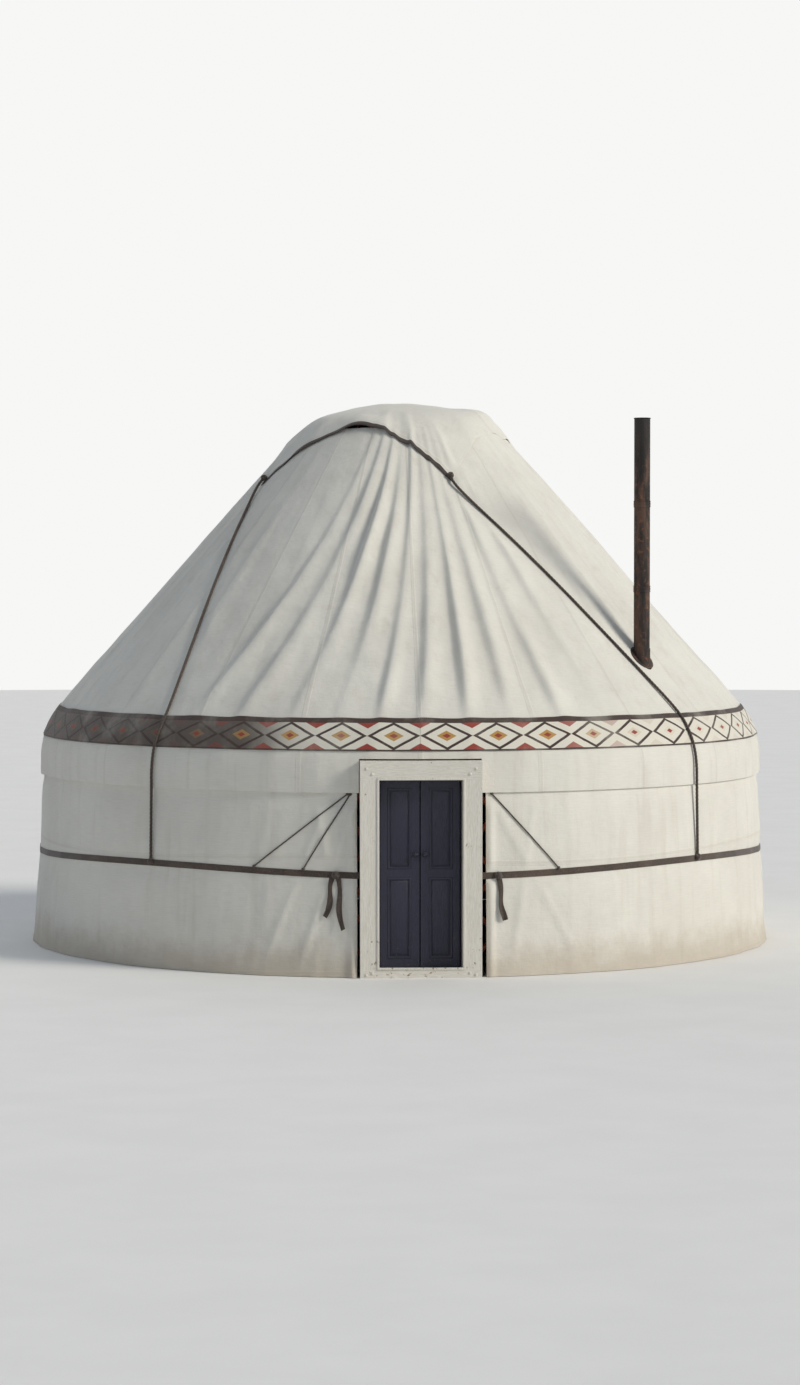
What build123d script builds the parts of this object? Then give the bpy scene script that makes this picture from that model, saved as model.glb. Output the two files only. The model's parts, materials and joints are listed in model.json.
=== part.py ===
"""A felt-covered yurt: lattice wall, bent roof poles, wooden crown, covers, doors and stovepipe.

Millimetres, +Z up. The origin is on the ground at the centre of the round. The door faces -Y.
Azimuths run from the door towards +X. The round is a ring of flat sides with a roof pole at
each corner, and a corner radius is measured at the poles.
"""
import os
from math import atan2, cos, degrees, pi, radians, sin, sqrt, tan

from build123d import *

os.makedirs("parts", exist_ok=True)

# The round
POLE_COUNT = 48
SECTOR_COUNT = 8
SEAT_GAP = 0.3                  # between soft covers and what they lie on

# Lattice wall
LATTICE_RADIUS = 2875.0         # outer corner
LATTICE_THICKNESS = 16.0
LATTICE_HEIGHT = 1500.0
LATTICE_END = 80.0              # lath ends past the outermost crossings
LATTICE_ROWS = 6                # half cells from the lowest to the highest crossing
LATH_WIDTH = 32.0

# Roof poles
POLE_WIDTH = 34.0
POLE_THICKNESS = 28.0
POLE_FOOT_Z = 1340.0
KNEE_Z = 1500.0                 # where the bend starts
KNEE_RADIUS = 620.0             # top side of the bend
KNEE_FACETS = 4                 # flat runs round a bend
ROOF_PITCH = 48.5               # degrees above level
TENON_WIDTH = 20.0
TENON_LENGTH = 70.0             # of a pole's tip, in its mortise in the crown ring
MORTISE_PLAY = 1.0

# Crown
RING_RADIUS = 780.0
RING_WIDTH = 90.0
RING_HEIGHT = 110.0
BOW_COUNT = 3                   # each way
BOW_SPACING = 110.0
BOW_WIDTH = 30.0
BOW_THICKNESS = 24.0
BOW_RISE = 205.0
BOW_FACETS = 8                  # flat runs along a bow

# Covers
FELT = 14.0
WALL_TOP_Z = 1440.0
WALL_SPLAY = 81.3               # how far the wall cover leans out from its top to the ground
HEM_Z = 1360.0                  # lower edge of the roof cover
CROWN_CLOTH = 8.0
CROWN_CORNER = 1200.0           # from the axis to a corner of the square crown cover, in plan
CROWN_TURN = 17.0               # azimuth of its front corner
CROWN_SIDES = 24                # of the dome
CROWN_SHOULDER = 60.0           # from the ring's outside in to the shoulder of the crown cover
DOME_FACETS = 6                 # flat runs from the middle of the dome out to its shoulder
BOW_ROOM = 3.0                  # between the bows and the crown cover

# Bands and ropes
BAND_Z = 1660.0
BAND_HEIGHT = 230.0
BAND_THICKNESS = 5.0
GIRTH_Z = 780.0
GIRTH_HEIGHT = 50.0
GIRTH_THICKNESS = 5.0
ROPE_RADIUS = 9.0
ROPE_SIDES = 6
ROPE_START = 27.0               # from a corner of the crown cover out to the start of its rope
ROPE_SWEEP = 30.5               # azimuth that a crown rope travels on its way down the roof
ROPE_BENDS = 4                  # runs of a crown rope round the knee

# Door
DOOR_WIDTH = 620.0              # clear opening
DOOR_HEAD_Z = 1460.0            # underside of the lintel
SILL_HEIGHT = 60.0
POST_WIDTH = 140.0
LINTEL_HEIGHT = 140.0
FRAME_DEPTH = 200.0
LEAF_THICKNESS = 36.0
LEAF_GAP = 5.0
MEETING_GAP = 8.0
STILE_WIDTH = 62.0
PANEL_DEPTH = 9.0
PIVOT_RADIUS = 10.0
PIVOT_LENGTH = 30.0
PIVOT_PLAY = 0.3
PIVOT_SIDES = 16
KNOB_Z = 900.0
KNOB_RADIUS = 19.0
KNOB_NECK = 9.0
KNOB_SIDES = 8

# Stovepipe
PIPE_RADIUS = 62.5
PIPE_WALL = 3.0
PIPE_AZIMUTH = 48.75
PIPE_AXIS_RADIUS = 2400.0
PIPE_TOP_Z = 4190.0
PIPE_BOTTOM_Z = 1950.0
PIPE_PLAY = 6.0
COLLAR_RADIUS = 112.0
COLLAR_THICKNESS = 4.0
PIPE_SIDES = 24
NECK_HEIGHT = 75.0              # up the pipe from the middle of the collar

# Worked-out sizes
STEP = 360.0 / POLE_COUNT
FLAT = cos(radians(STEP / 2))           # from a corner radius to the middle of a side
SECTOR = 360.0 / SECTOR_COUNT
SIDES_PER_SECTOR = POLE_COUNT // SECTOR_COUNT
FRAME_HALF = DOOR_WIDTH / 2 + POST_WIDTH
LINTEL_TOP_Z = DOOR_HEAD_Z + LINTEL_HEIGHT
POLE_BACK = LATTICE_RADIUS + SEAT_GAP
POLE_FACE = POLE_BACK + POLE_THICKNESS
CORNER_DROP = POLE_WIDTH / 2 * tan(radians(STEP / 2))
COVER_RADIUS = POLE_FACE + CORNER_DROP + SEAT_GAP       # inner corner of a cover on the poles
BASE_RADIUS = COVER_RADIUS + FELT + WALL_SPLAY          # outer corner of the wall at the ground
WALL_LEAN = WALL_SPLAY / WALL_TOP_Z
HEM_RADIUS = BASE_RADIUS - WALL_LEAN * HEM_Z + SEAT_GAP
PITCH = radians(ROOF_PITCH)
COVER_LIFT = CORNER_DROP + SEAT_GAP                     # covers lie this far off the poles' tops
FRAME_Y = FRAME_DEPTH / 2 - BASE_RADIUS
LEAF_Y = FRAME_DEPTH - BASE_RADIUS - LEAF_THICKNESS / 2 - LEAF_GAP
PIVOT_X = DOOR_WIDTH / 2 - LEAF_GAP - LEAF_THICKNESS / 2
TALL = 2 * BASE_RADIUS                                  # more than the whole height
REACH = BASE_RADIUS + WALL_TOP_Z                        # past everything, from the axis

SECTOR_NAMES = [
    "front_right", "right_front", "right_back", "back_right",
    "back_left", "left_back", "left_front", "front_left",
]


def roof_line(radius, lift=0.0):
    """Height of the tops of the poles over a radius, or of a layer lifted square off them."""
    knee_end_r = POLE_FACE - KNEE_RADIUS + KNEE_RADIUS * sin(PITCH)
    knee_end_z = KNEE_Z + KNEE_RADIUS * cos(PITCH)
    return knee_end_z + (knee_end_r - radius) * tan(PITCH) + lift / cos(PITCH)


def knee_path(vertical, lift, z_low, r_high, knee):
    """Upright line, bent knee and roof slope, as one open path from low to high."""
    turn = pi / 2 - PITCH
    start_z = roof_line(vertical, lift) - knee * tan(turn / 2)
    points = [(vertical, z_low)]
    for n in range(KNEE_FACETS + 1):
        angle = turn * n / KNEE_FACETS
        points.append((vertical - knee * (1 - cos(angle)), start_z + knee * sin(angle)))
    points.append((r_high, roof_line(r_high, lift)))
    return Polyline(*points)


def between(outer, inner):
    """Face between two open paths that run the same way."""
    ends = [Line(outer @ 0, inner @ 0), Line(outer @ 1, inner @ 1)]
    return make_face(outer.edges() + inner.edges() + [end.edge() for end in ends])


def on_flat(face):
    """The same profile for the middle of a side, where the ring is nearer its centre."""
    return scale(face, by=(FLAT, 1, 1))


def turned(shape, azimuth):
    """Turn a shape that was made along +X to an azimuth."""
    return Rot(0, 0, azimuth - 90) * shape


def mitre(step):
    """The slice of the round that one side may fill, along +X."""
    half = REACH * tan(radians(step / 2))
    return extrude(make_face(Polyline((0, 0), (REACH, -half), (REACH, half), (0, 0))), amount=TALL)


def side(face, step=STEP):
    """One flat side of the round, from its profile in radius and height, mitred at its corners."""
    slab = extrude(Plane.XZ * face, amount=REACH * tan(radians(step)), both=True)
    return (slab & mitre(step)).solid()


def run_of_sides(one, first, count, step=STEP):
    """Neighbouring sides from an azimuth on, joined to one solid."""
    sides = [turned(one, first + step * (n + 0.5)) for n in range(count)]
    return sides[0] if count == 1 else sides[0].fuse(*sides[1:]).solid()


def door_box(z_low, z_high):
    """The room that the door frame takes from what surrounds it."""
    half = FRAME_HALF + SEAT_GAP
    return Pos(0, -BASE_RADIUS, (z_low + z_high) / 2) * Box(2 * half, BASE_RADIUS, z_high - z_low)


def lattice_side():
    """One side of the lattice: crossing laths, with a crossing at each corner of the round."""
    apothem = LATTICE_RADIUS * FLAT
    half = LATTICE_RADIUS * sin(radians(STEP / 2))
    rise = (LATTICE_HEIGHT - 2 * LATTICE_END) / LATTICE_ROWS
    lean = degrees(atan2(rise, half))
    length = 4 * sqrt(half ** 2 + rise ** 2)
    laths = []
    for row in range(-2, LATTICE_ROWS + 2, 2):
        centre_z = LATTICE_END + (row + 1) * rise
        for way in (lean, -lean):
            laths.append(Pos(0, centre_z) * Rot(0, 0, way) * Rectangle(length, LATH_WIDTH))
    pattern = laths[0].fuse(*laths[1:])
    pattern = pattern & Pos(0, LATTICE_HEIGHT / 2) * Rectangle(4 * half, LATTICE_HEIGHT)
    upright = Plane(origin=(apothem, 0, 0), x_dir=(0, 1, 0), z_dir=(1, 0, 0))
    panel = extrude(upright * pattern, amount=-LATTICE_THICKNESS)
    return (panel & mitre(STEP)).solid()


def lattice_sections():
    """The lattice wall in sectors that meet at a column of crossings, open at the door."""
    one = lattice_side()
    gap = door_box(-1, TALL)
    for index, name in enumerate(SECTOR_NAMES):
        section = run_of_sides(one, index * SECTOR, SIDES_PER_SECTOR)
        if index in (0, SECTOR_COUNT - 1):
            section = (section - gap).solids().sort_by(lambda s: s.volume)[-1]
        yield f"lattice_{name}", section


def pole_tip(play):
    """The square tip of a pole along +X, or with play its mortise in the crown ring."""
    top = RING_RADIUS + SEAT_GAP
    middle = (top, 0, roof_line(top, -POLE_THICKNESS / 2))
    width = TENON_WIDTH + 2 * play
    inward = Plane(origin=middle, z_dir=(-cos(PITCH), 0, sin(PITCH)), x_dir=(0, 1, 0))
    return inward * Box(width, width, 2 * (TENON_LENGTH + play))


def roof_pole():
    """A roof pole along +X: upright foot, bent knee, straight slope and a tip for the crown."""
    knee_in = KNEE_RADIUS - POLE_THICKNESS
    top = RING_RADIUS + SEAT_GAP
    outer = knee_path(POLE_FACE, 0, POLE_FOOT_Z, top, KNEE_RADIUS)
    inner = knee_path(POLE_BACK, -POLE_THICKNESS, POLE_FOOT_Z, top, knee_in)
    shaft = extrude(Plane.XZ * between(outer, inner), amount=POLE_WIDTH / 2, both=True)
    return shaft.fuse(pole_tip(0)).solid()


def roof_poles():
    """The poles in four quarters, one pole at each corner of the round."""
    lattice_pole = roof_pole()
    lintel_pole = (lattice_pole - Pos(0, 0, LINTEL_TOP_Z / 2) * Box(TALL, TALL, LINTEL_TOP_Z)).solid()
    quarter = POLE_COUNT // 4
    for turn, name in enumerate(("front", "right", "back", "left")):
        poles = []
        for n in range(quarter):
            azimuth = (turn * quarter + n - quarter // 2) * STEP
            over_door = abs(POLE_BACK * sin(radians(azimuth))) < FRAME_HALF and turn == 0
            poles.append(turned(lintel_pole if over_door else lattice_pole, azimuth))
        yield f"roof_poles_{name}", Compound(poles)


def crown_ring():
    """The bent wooden ring, with a mortise for the tip of each pole."""
    top = roof_line(RING_RADIUS)
    profile = Pos(RING_RADIUS - RING_WIDTH / 2, top - RING_HEIGHT / 2) * Rectangle(
        RING_WIDTH, RING_HEIGHT
    )
    profile = chamfer(profile.vertices().group_by(Axis.X)[0], RING_WIDTH / 8)
    ring = run_of_sides(side(on_flat(profile)), 0, POLE_COUNT)
    mortise = pole_tip(MORTISE_PLAY)
    mortises = [turned(mortise, n * STEP) for n in range(POLE_COUNT)]
    return ring.cut(*mortises).solid()


def flat_arc(run, seat, ridge):
    """A bend in flat runs over the axis, from one side's seat over the ridge to the other's."""
    rise = ridge - seat
    radius = (run ** 2 + rise ** 2) / (2 * rise)
    half = atan2(run, radius - rise)
    angles = [half * (2 * n / BOW_FACETS - 1) for n in range(BOW_FACETS + 1)]
    return Polyline(*[
        (radius * sin(angle), ridge - radius * (1 - cos(angle))) for angle in angles
    ])


def crown_bow(offset, reach):
    """One bent lath over the crown, along X, standing on the ring's top."""
    seat = roof_line(RING_RADIUS)
    low = BOW_RISE * (offset / reach) ** 2
    run = sqrt(reach ** 2 - offset ** 2)
    ridge = seat + BOW_RISE - low
    lower = flat_arc(run, seat, ridge)
    upper = flat_arc(run + BOW_THICKNESS, seat, ridge + BOW_THICKNESS)
    bow = extrude(Plane.XZ * between(upper, lower), amount=BOW_WIDTH / 2, both=True)
    return Pos(0, offset, 0) * bow


def crown_bows():
    """Two sets of bent laths that cross over the ring, fused where they cross."""
    reach = RING_RADIUS - RING_WIDTH / 2 - BOW_THICKNESS / 2
    offsets = [BOW_SPACING * (n - (BOW_COUNT - 1) / 2) for n in range(BOW_COUNT)]
    laths = [crown_bow(offset, reach) for offset in offsets]
    laths += [Rot(0, 0, 90) * lath for lath in laths]
    return laths[0].fuse(*laths[1:]).solid()


def wall_covers():
    """Felt round the lattice, upright inside the hem and leaning out to the ground."""
    profile = make_face(Polyline(
        (COVER_RADIUS, WALL_TOP_Z), (COVER_RADIUS + FELT, WALL_TOP_Z),
        (BASE_RADIUS, 0), (BASE_RADIUS - FELT, 0), (COVER_RADIUS, WALL_TOP_Z)
    ))
    one = side(on_flat(profile))
    gap = door_box(-1, TALL)
    for index, name in enumerate(SECTOR_NAMES):
        cover = run_of_sides(one, index * SECTOR, SIDES_PER_SECTOR)
        if index in (0, SECTOR_COUNT - 1):
            cover = (cover - gap).solid()
        yield f"wall_cover_{name}", cover


def pipe_prism(radius, z_low, z_high):
    """An upright prism on the axis of the stovepipe."""
    outline = Pos(PIPE_AXIS_RADIUS, 0, z_low) * RegularPolygon(radius, PIPE_SIDES)
    return turned(extrude(outline, amount=z_high - z_low), PIPE_AZIMUTH)


def roof_layer(lift, thickness, z_low, r_high):
    """Profile of a layer over the poles, hanging plumb at the hem."""
    inner = knee_path(HEM_RADIUS + lift, COVER_LIFT + lift, z_low, r_high, KNEE_RADIUS)
    outer_lift = lift + thickness
    outer = knee_path(
        HEM_RADIUS + outer_lift, COVER_LIFT + outer_lift, z_low, r_high, KNEE_RADIUS + thickness
    )
    return between(outer, inner)


def roof_covers():
    """Felt over the poles, with a hem outside the wall cover, cut round the lintel and pipe."""
    profile = roof_layer(0, FELT, HEM_Z, RING_RADIUS + CORNER_DROP)
    one = side(on_flat(profile))
    lintel = door_box(0, LINTEL_TOP_Z + SEAT_GAP)
    hole = pipe_prism(PIPE_RADIUS + PIPE_PLAY, 0, TALL)
    for index, name in enumerate(SECTOR_NAMES):
        cover = run_of_sides(one, index * SECTOR, SIDES_PER_SECTOR)
        if index in (0, SECTOR_COUNT - 1):
            cover = (cover - lintel).solid()
        if index == int(PIPE_AZIMUTH // SECTOR):
            cover = (cover - hole).solid()
        yield f"roof_cover_{name}", cover


def crown_cover():
    """The square sheet over the crown, lying on the bows and on the roof cover."""
    step = 360.0 / CROWN_SIDES
    lift = COVER_LIFT + FELT + SEAT_GAP
    ridge = roof_line(RING_RADIUS) + BOW_RISE + BOW_THICKNESS + BOW_ROOM
    edge = CROWN_CORNER / cos(radians(step / 2))
    shoulder = RING_RADIUS - CROWN_SHOULDER

    def path(up):
        """Dome and skirt in flat runs, lifted by a thickness."""
        fall = ridge + up - roof_line(shoulder, lift + up)
        dome = [shoulder * n / DOME_FACETS for n in range(DOME_FACETS + 1)]
        points = [(r, ridge + up - fall * (r / shoulder) ** 2) for r in dome]
        return Polyline(*points, (edge, roof_line(edge, lift + up)))

    one = side(between(path(CROWN_CLOTH), path(0)), step)
    dome = run_of_sides(one, 0, CROWN_SIDES, step)
    square = turned(Rot(0, 0, 45) * Box(
        CROWN_CORNER * sqrt(2), CROWN_CORNER * sqrt(2), 2 * TALL
    ), CROWN_TURN)
    return (dome & square).solid()


def eave_band():
    """The patterned band over the start of the knee, all the way round."""
    layer = roof_layer(FELT + SEAT_GAP, BAND_THICKNESS, HEM_Z, RING_RADIUS * 2)
    strip = Pos(BASE_RADIUS, BAND_Z + BAND_HEIGHT / 2) * Rectangle(BASE_RADIUS, BAND_HEIGHT)
    one = side(on_flat((layer & strip).face()))
    half = POLE_COUNT // 2
    for index, name in enumerate(("right", "left")):
        yield f"eave_band_{name}", run_of_sides(one, index * half * STEP, half)


def girth_strap():
    """The strap round the wall at waist height, from one door post to the other."""
    low = GIRTH_Z - GIRTH_HEIGHT / 2
    high = GIRTH_Z + GIRTH_HEIGHT / 2
    inner_low = BASE_RADIUS - WALL_LEAN * low + SEAT_GAP
    inner_high = BASE_RADIUS - WALL_LEAN * high + SEAT_GAP
    profile = make_face(Polyline(
        (inner_low, low), (inner_low + GIRTH_THICKNESS, low),
        (inner_high + GIRTH_THICKNESS, high), (inner_high, high), (inner_low, low)
    ))
    ring = run_of_sides(side(on_flat(profile)), 0, POLE_COUNT)
    return (ring - door_box(0, WALL_TOP_Z)).solid()


def door_posts():
    """The two white posts on the sill."""
    height = DOOR_HEAD_Z - SILL_HEIGHT
    for name, way in (("left", -1), ("right", 1)):
        x = way * (DOOR_WIDTH + POST_WIDTH) / 2
        post = Pos(x, FRAME_Y, SILL_HEIGHT + height / 2) * Box(POST_WIDTH, FRAME_DEPTH, height)
        yield f"door_post_{name}", post


def pivot(radius, z_low, z_high):
    """A turned piece on the vertical axis, whose flats lie at a radius."""
    half = 180.0 / PIVOT_SIDES
    outline = RegularPolygon(radius, PIVOT_SIDES, major_radius=False, rotation=half)
    return Pos(0, 0, z_low) * extrude(outline, amount=z_high - z_low)


def pivot_holes(z_low, z_high):
    """Sockets for both leaves' pivots, between two heights."""
    holes = [
        Pos(way * PIVOT_X, LEAF_Y) * pivot(PIVOT_RADIUS + PIVOT_PLAY, z_low, z_high)
        for way in (-1, 1)
    ]
    return Compound(holes)


def door_sill():
    """The threshold, with a socket for each lower pivot."""
    sill = Pos(0, FRAME_Y, SILL_HEIGHT / 2) * Box(2 * FRAME_HALF, FRAME_DEPTH, SILL_HEIGHT)
    return sill - pivot_holes(SILL_HEIGHT - PIVOT_LENGTH, SILL_HEIGHT + 1)


def door_lintel():
    """The head of the frame, with a socket for each upper pivot."""
    centre_z = DOOR_HEAD_Z + LINTEL_HEIGHT / 2
    lintel = Pos(0, FRAME_Y, centre_z) * Box(2 * FRAME_HALF, FRAME_DEPTH, LINTEL_HEIGHT)
    return lintel - pivot_holes(DOOR_HEAD_Z - 1, DOOR_HEAD_Z + PIVOT_LENGTH)


def door_leaf(way):
    """A panelled leaf whose hinge edge is round about its wooden pivots."""
    low = SILL_HEIGHT + LEAF_GAP
    high = DOOR_HEAD_Z - LEAF_GAP
    height = high - low
    width = PIVOT_X - MEETING_GAP / 2
    middle = MEETING_GAP / 2 + width / 2
    slab = Pos(middle, 0, low + height / 2) * Box(width, LEAF_THICKNESS, height)
    edge = Pos(PIVOT_X, 0) * pivot(LEAF_THICKNESS / 2, low, high)
    reach = LEAF_GAP + PIVOT_LENGTH - SEAT_GAP
    pins = [
        Pos(PIVOT_X, 0) * pivot(PIVOT_RADIUS * cos(pi / PIVOT_SIDES), z, z + reach)
        for z in (low - reach, high)
    ]
    leaf = slab.fuse(edge, *pins)
    panel_width = width - 2 * STILE_WIDTH + LEAF_THICKNESS / 2
    panel_height = (height - 3 * STILE_WIDTH) / 2
    panel_x = MEETING_GAP / 2 + STILE_WIDTH + panel_width / 2
    for level in (0, 1):
        centre_z = low + STILE_WIDTH + panel_height / 2 + level * (panel_height + STILE_WIDTH)
        for face in (-1, 1):
            y = face * (LEAF_THICKNESS - PANEL_DEPTH) / 2
            recess = Pos(panel_x, y, centre_z) * Box(panel_width, PANEL_DEPTH, panel_height)
            leaf = leaf - recess
    leaf = leaf.solid()
    if way < 0:
        leaf = mirror(leaf, Plane.YZ)
    return Pos(0, LEAF_Y, 0) * leaf


def door_knob(way):
    """An eight-sided wooden knob on the outer face of a leaf, near its meeting edge."""
    start = LEAF_Y - LEAF_THICKNESS / 2
    x = way * (MEETING_GAP + STILE_WIDTH) / 2
    flare = KNOB_RADIUS - KNOB_NECK
    profile = make_face(Polyline(
        (0, 0), (KNOB_RADIUS, 0), (KNOB_RADIUS, KNOB_NECK / 2), (KNOB_NECK, KNOB_NECK),
        (KNOB_NECK, 2 * KNOB_NECK), (KNOB_RADIUS, 2 * KNOB_NECK + flare),
        (KNOB_RADIUS, 3 * KNOB_NECK + flare), (KNOB_NECK, 3 * KNOB_NECK + 2 * flare),
        (0, 3 * KNOB_NECK + 2 * flare), (0, 0)
    ))
    step = 360.0 / KNOB_SIDES
    knob = run_of_sides(side(profile, step), 0, KNOB_SIDES, step)
    return Pos(x, start, KNOB_Z) * Rot(90, 0, 0) * knob


def stove_pipe():
    """The open steel tube that stands through the roof cover."""
    bore = pipe_prism(PIPE_RADIUS - PIPE_WALL, 0, TALL)
    return pipe_prism(PIPE_RADIUS, PIPE_BOTTOM_Z, PIPE_TOP_Z) - bore


def pipe_collar():
    """The flashing plate on the roof cover round the pipe, with a short upright neck."""
    plate_z = roof_line(PIPE_AXIS_RADIUS / FLAT, COVER_LIFT + FELT + SEAT_GAP)
    roof = Pos(PIPE_AXIS_RADIUS, 0, plate_z) * Rot(0, ROOF_PITCH, 0)
    plate = extrude(roof * RegularPolygon(COLLAR_RADIUS, PIPE_SIDES), amount=COLLAR_THICKNESS)
    below = turned(roof * Pos(0, 0, -TALL / 2) * Box(TALL, TALL, TALL), PIPE_AZIMUTH)
    bore = PIPE_RADIUS + SEAT_GAP
    neck = pipe_prism(bore + COLLAR_THICKNESS, 0, plate_z + NECK_HEIGHT) - below
    return (turned(plate, PIPE_AZIMUTH) + neck - pipe_prism(bore, 0, TALL)).solid()


def knee_radius_at(height, lift):
    """Radius of a layer's outside at a height between its hem and the end of its knee."""
    centre_r = HEM_RADIUS - KNEE_RADIUS
    centre_z = roof_line(centre_r, COVER_LIFT) - KNEE_RADIUS / cos(PITCH)
    above = max(height - centre_z, 0.0)
    return centre_r + sqrt((KNEE_RADIUS + lift) ** 2 - above ** 2)


def rope_route(azimuth):
    """Corner points of a crown rope: straight across the flattened roof, then down the wall."""
    lift = COVER_LIFT + FELT + SEAT_GAP + ROPE_RADIUS
    start = CROWN_CORNER + ROPE_START
    eave = HEM_RADIUS - KNEE_RADIUS * (1 - sin(PITCH))
    squeeze = cos(PITCH)
    fan = radians(ROPE_SWEEP) * squeeze
    x0, y0 = 0.0, start / squeeze
    x1, y1 = eave / squeeze * sin(fan), eave / squeeze * cos(fan)
    points = [(azimuth, start, roof_line(start, lift))]
    corner = (azimuth // STEP + 1) * STEP
    end = azimuth + ROPE_SWEEP
    while corner < end:
        turn = radians(corner - azimuth) * squeeze
        along = (x0 * cos(turn) - y0 * sin(turn)) / (
            (x0 - x1) * cos(turn) - (y0 - y1) * sin(turn)
        )
        reach = squeeze * sqrt((x0 + along * (x1 - x0)) ** 2 + (y0 + along * (y1 - y0)) ** 2)
        points.append((corner, reach, roof_line(reach, lift)))
        corner += STEP
    over_band = lift + BAND_THICKNESS + SEAT_GAP
    bulge = KNEE_RADIUS * (1 - cos((pi / 2 - PITCH) / 2 / ROPE_BENDS))
    top_z, low_z = roof_line(eave, lift), HEM_Z
    for n in range(ROPE_BENDS + 1):
        height = top_z + (low_z - top_z) * n / ROPE_BENDS
        points.append((end, knee_radius_at(height, over_band - COVER_LIFT) + bulge, height))
    tie_z = GIRTH_Z + GIRTH_HEIGHT / 2 + SEAT_GAP
    points.append((end, BASE_RADIUS - WALL_LEAN * tie_z + ROPE_RADIUS + SEAT_GAP, tie_z))
    return [(r * sin(radians(a)), -r * cos(radians(a)), z) for a, r, z in points]


def crown_ropes():
    """A taut rope from each corner of the crown cover, down the roof to the girth strap."""
    for turn in range(4):
        points = [Vector(*point) for point in rope_route(CROWN_TURN + 90 * turn)]
        sections = []
        for before, point, after in zip(points[:1] + points, points, points[1:] + points[-1:]):
            outward = Vector(point.X, point.Y, 0)
            square_on = Plane(origin=point, x_dir=outward, z_dir=after - before)
            sections.append(square_on * RegularPolygon(ROPE_RADIUS, ROPE_SIDES))
        yield loft(sections, ruled=True).solid()


def save(name, shape):
    """Write one named piece."""
    shape.label = name
    export_step(shape, f"parts/{name}.step")


def main():
    """Build and write every piece."""
    for maker in (lattice_sections, roof_poles, wall_covers, roof_covers, eave_band, door_posts):
        for name, shape in maker():
            save(name, shape)
    save("crown_ring", crown_ring())
    save("crown_bows", crown_bows())
    save("crown_cover", crown_cover())
    save("crown_ropes", Compound(list(crown_ropes())))
    save("girth_strap", girth_strap())
    save("door_sill", door_sill())
    save("door_lintel", door_lintel())
    for name, way in (("left", -1), ("right", 1)):
        save(f"door_leaf_{name}", door_leaf(way))
        save(f"door_knob_{name}", door_knob(way))
    save("stove_pipe", stove_pipe())
    save("pipe_collar", pipe_collar())


main()
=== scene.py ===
"""Dresses the yurt: felt and canvas covers, woven band, ropes, painted door and stovepipe.

All lengths are in metres, and angles go round the house from the door towards the right.
"""
import json
import logging
import math
from collections.abc import Callable, Iterable, Sequence
from dataclasses import dataclass, field, replace
from enum import Enum

import bmesh
import bpy
import numpy as np
from mathutils import Matrix, Vector

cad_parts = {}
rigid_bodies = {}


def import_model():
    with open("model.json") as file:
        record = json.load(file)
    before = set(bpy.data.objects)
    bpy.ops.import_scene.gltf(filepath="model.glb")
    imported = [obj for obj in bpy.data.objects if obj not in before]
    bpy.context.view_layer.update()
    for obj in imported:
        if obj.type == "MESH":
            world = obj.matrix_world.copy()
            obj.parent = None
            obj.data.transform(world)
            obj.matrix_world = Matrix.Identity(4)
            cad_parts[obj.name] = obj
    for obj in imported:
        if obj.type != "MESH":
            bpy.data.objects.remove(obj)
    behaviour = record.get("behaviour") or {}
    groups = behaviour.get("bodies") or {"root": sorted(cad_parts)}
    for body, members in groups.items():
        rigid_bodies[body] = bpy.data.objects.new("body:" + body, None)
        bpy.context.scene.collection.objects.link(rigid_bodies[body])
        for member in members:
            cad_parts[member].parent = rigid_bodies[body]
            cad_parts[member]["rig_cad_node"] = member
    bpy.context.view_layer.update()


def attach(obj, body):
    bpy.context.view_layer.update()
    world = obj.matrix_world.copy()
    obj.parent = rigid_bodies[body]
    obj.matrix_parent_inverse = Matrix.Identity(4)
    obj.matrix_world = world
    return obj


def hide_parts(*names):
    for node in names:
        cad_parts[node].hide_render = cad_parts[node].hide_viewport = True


LOG = logging.getLogger("yurt")
SIDES = ("front", "right", "back", "left")
POLES = 48
PIPE_PLACE = (1.8044, -1.5824)
BAND_RADIUS = 2.87  # at which the eave band's pattern closes
CROWN_CORNER = 1.2  # from the middle of the crown cover to its corners
CROWN_EASE = 1.14  # length of its cloth to its length seen from above
AIR = 0.0008  # left under a sheet

Piece = bpy.types.Object
Material = bpy.types.Material
Socket = bpy.types.NodeSocket
Tree = bpy.types.NodeTree
Grid = np.ndarray


class Quarter(Enum):
    """The sectors of the covers and the lattice, as the frame names them."""

    FRONT_RIGHT = "front_right"
    RIGHT_FRONT = "right_front"
    RIGHT_BACK = "right_back"
    BACK_RIGHT = "back_right"
    BACK_LEFT = "back_left"
    LEFT_BACK = "left_back"
    LEFT_FRONT = "left_front"
    FRONT_LEFT = "front_left"


class Hand(Enum):
    """The two sides of the door, with the sign of X on each."""

    LEFT = -1
    RIGHT = 1


# ---------------------------------------------------------------- helpers for shapes


def smooth(value: Grid, low: float, high: float) -> Grid:
    """A soft step, from 0 where a value is low to 1 where it is high."""
    t = np.clip((value - low) / (high - low), 0.0, 1.0)
    return t * t * (3.0 - 2.0 * t)


def hill(value: Grid, middle: float = 0.0, width: float = 1.0) -> Grid:
    """A soft hill, 1 at its middle and near 0 from two widths away."""
    return np.exp(-((value - middle) / width) ** 2)


def signed(turn: Grid) -> Grid:
    """Angles from -pi to pi, with the door at 0."""
    return np.mod(turn + math.pi, math.tau) - math.pi


def from_door(turn: Grid) -> Grid:
    """Degrees from the door, to either side."""
    return np.degrees(np.abs(signed(turn)))


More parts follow.
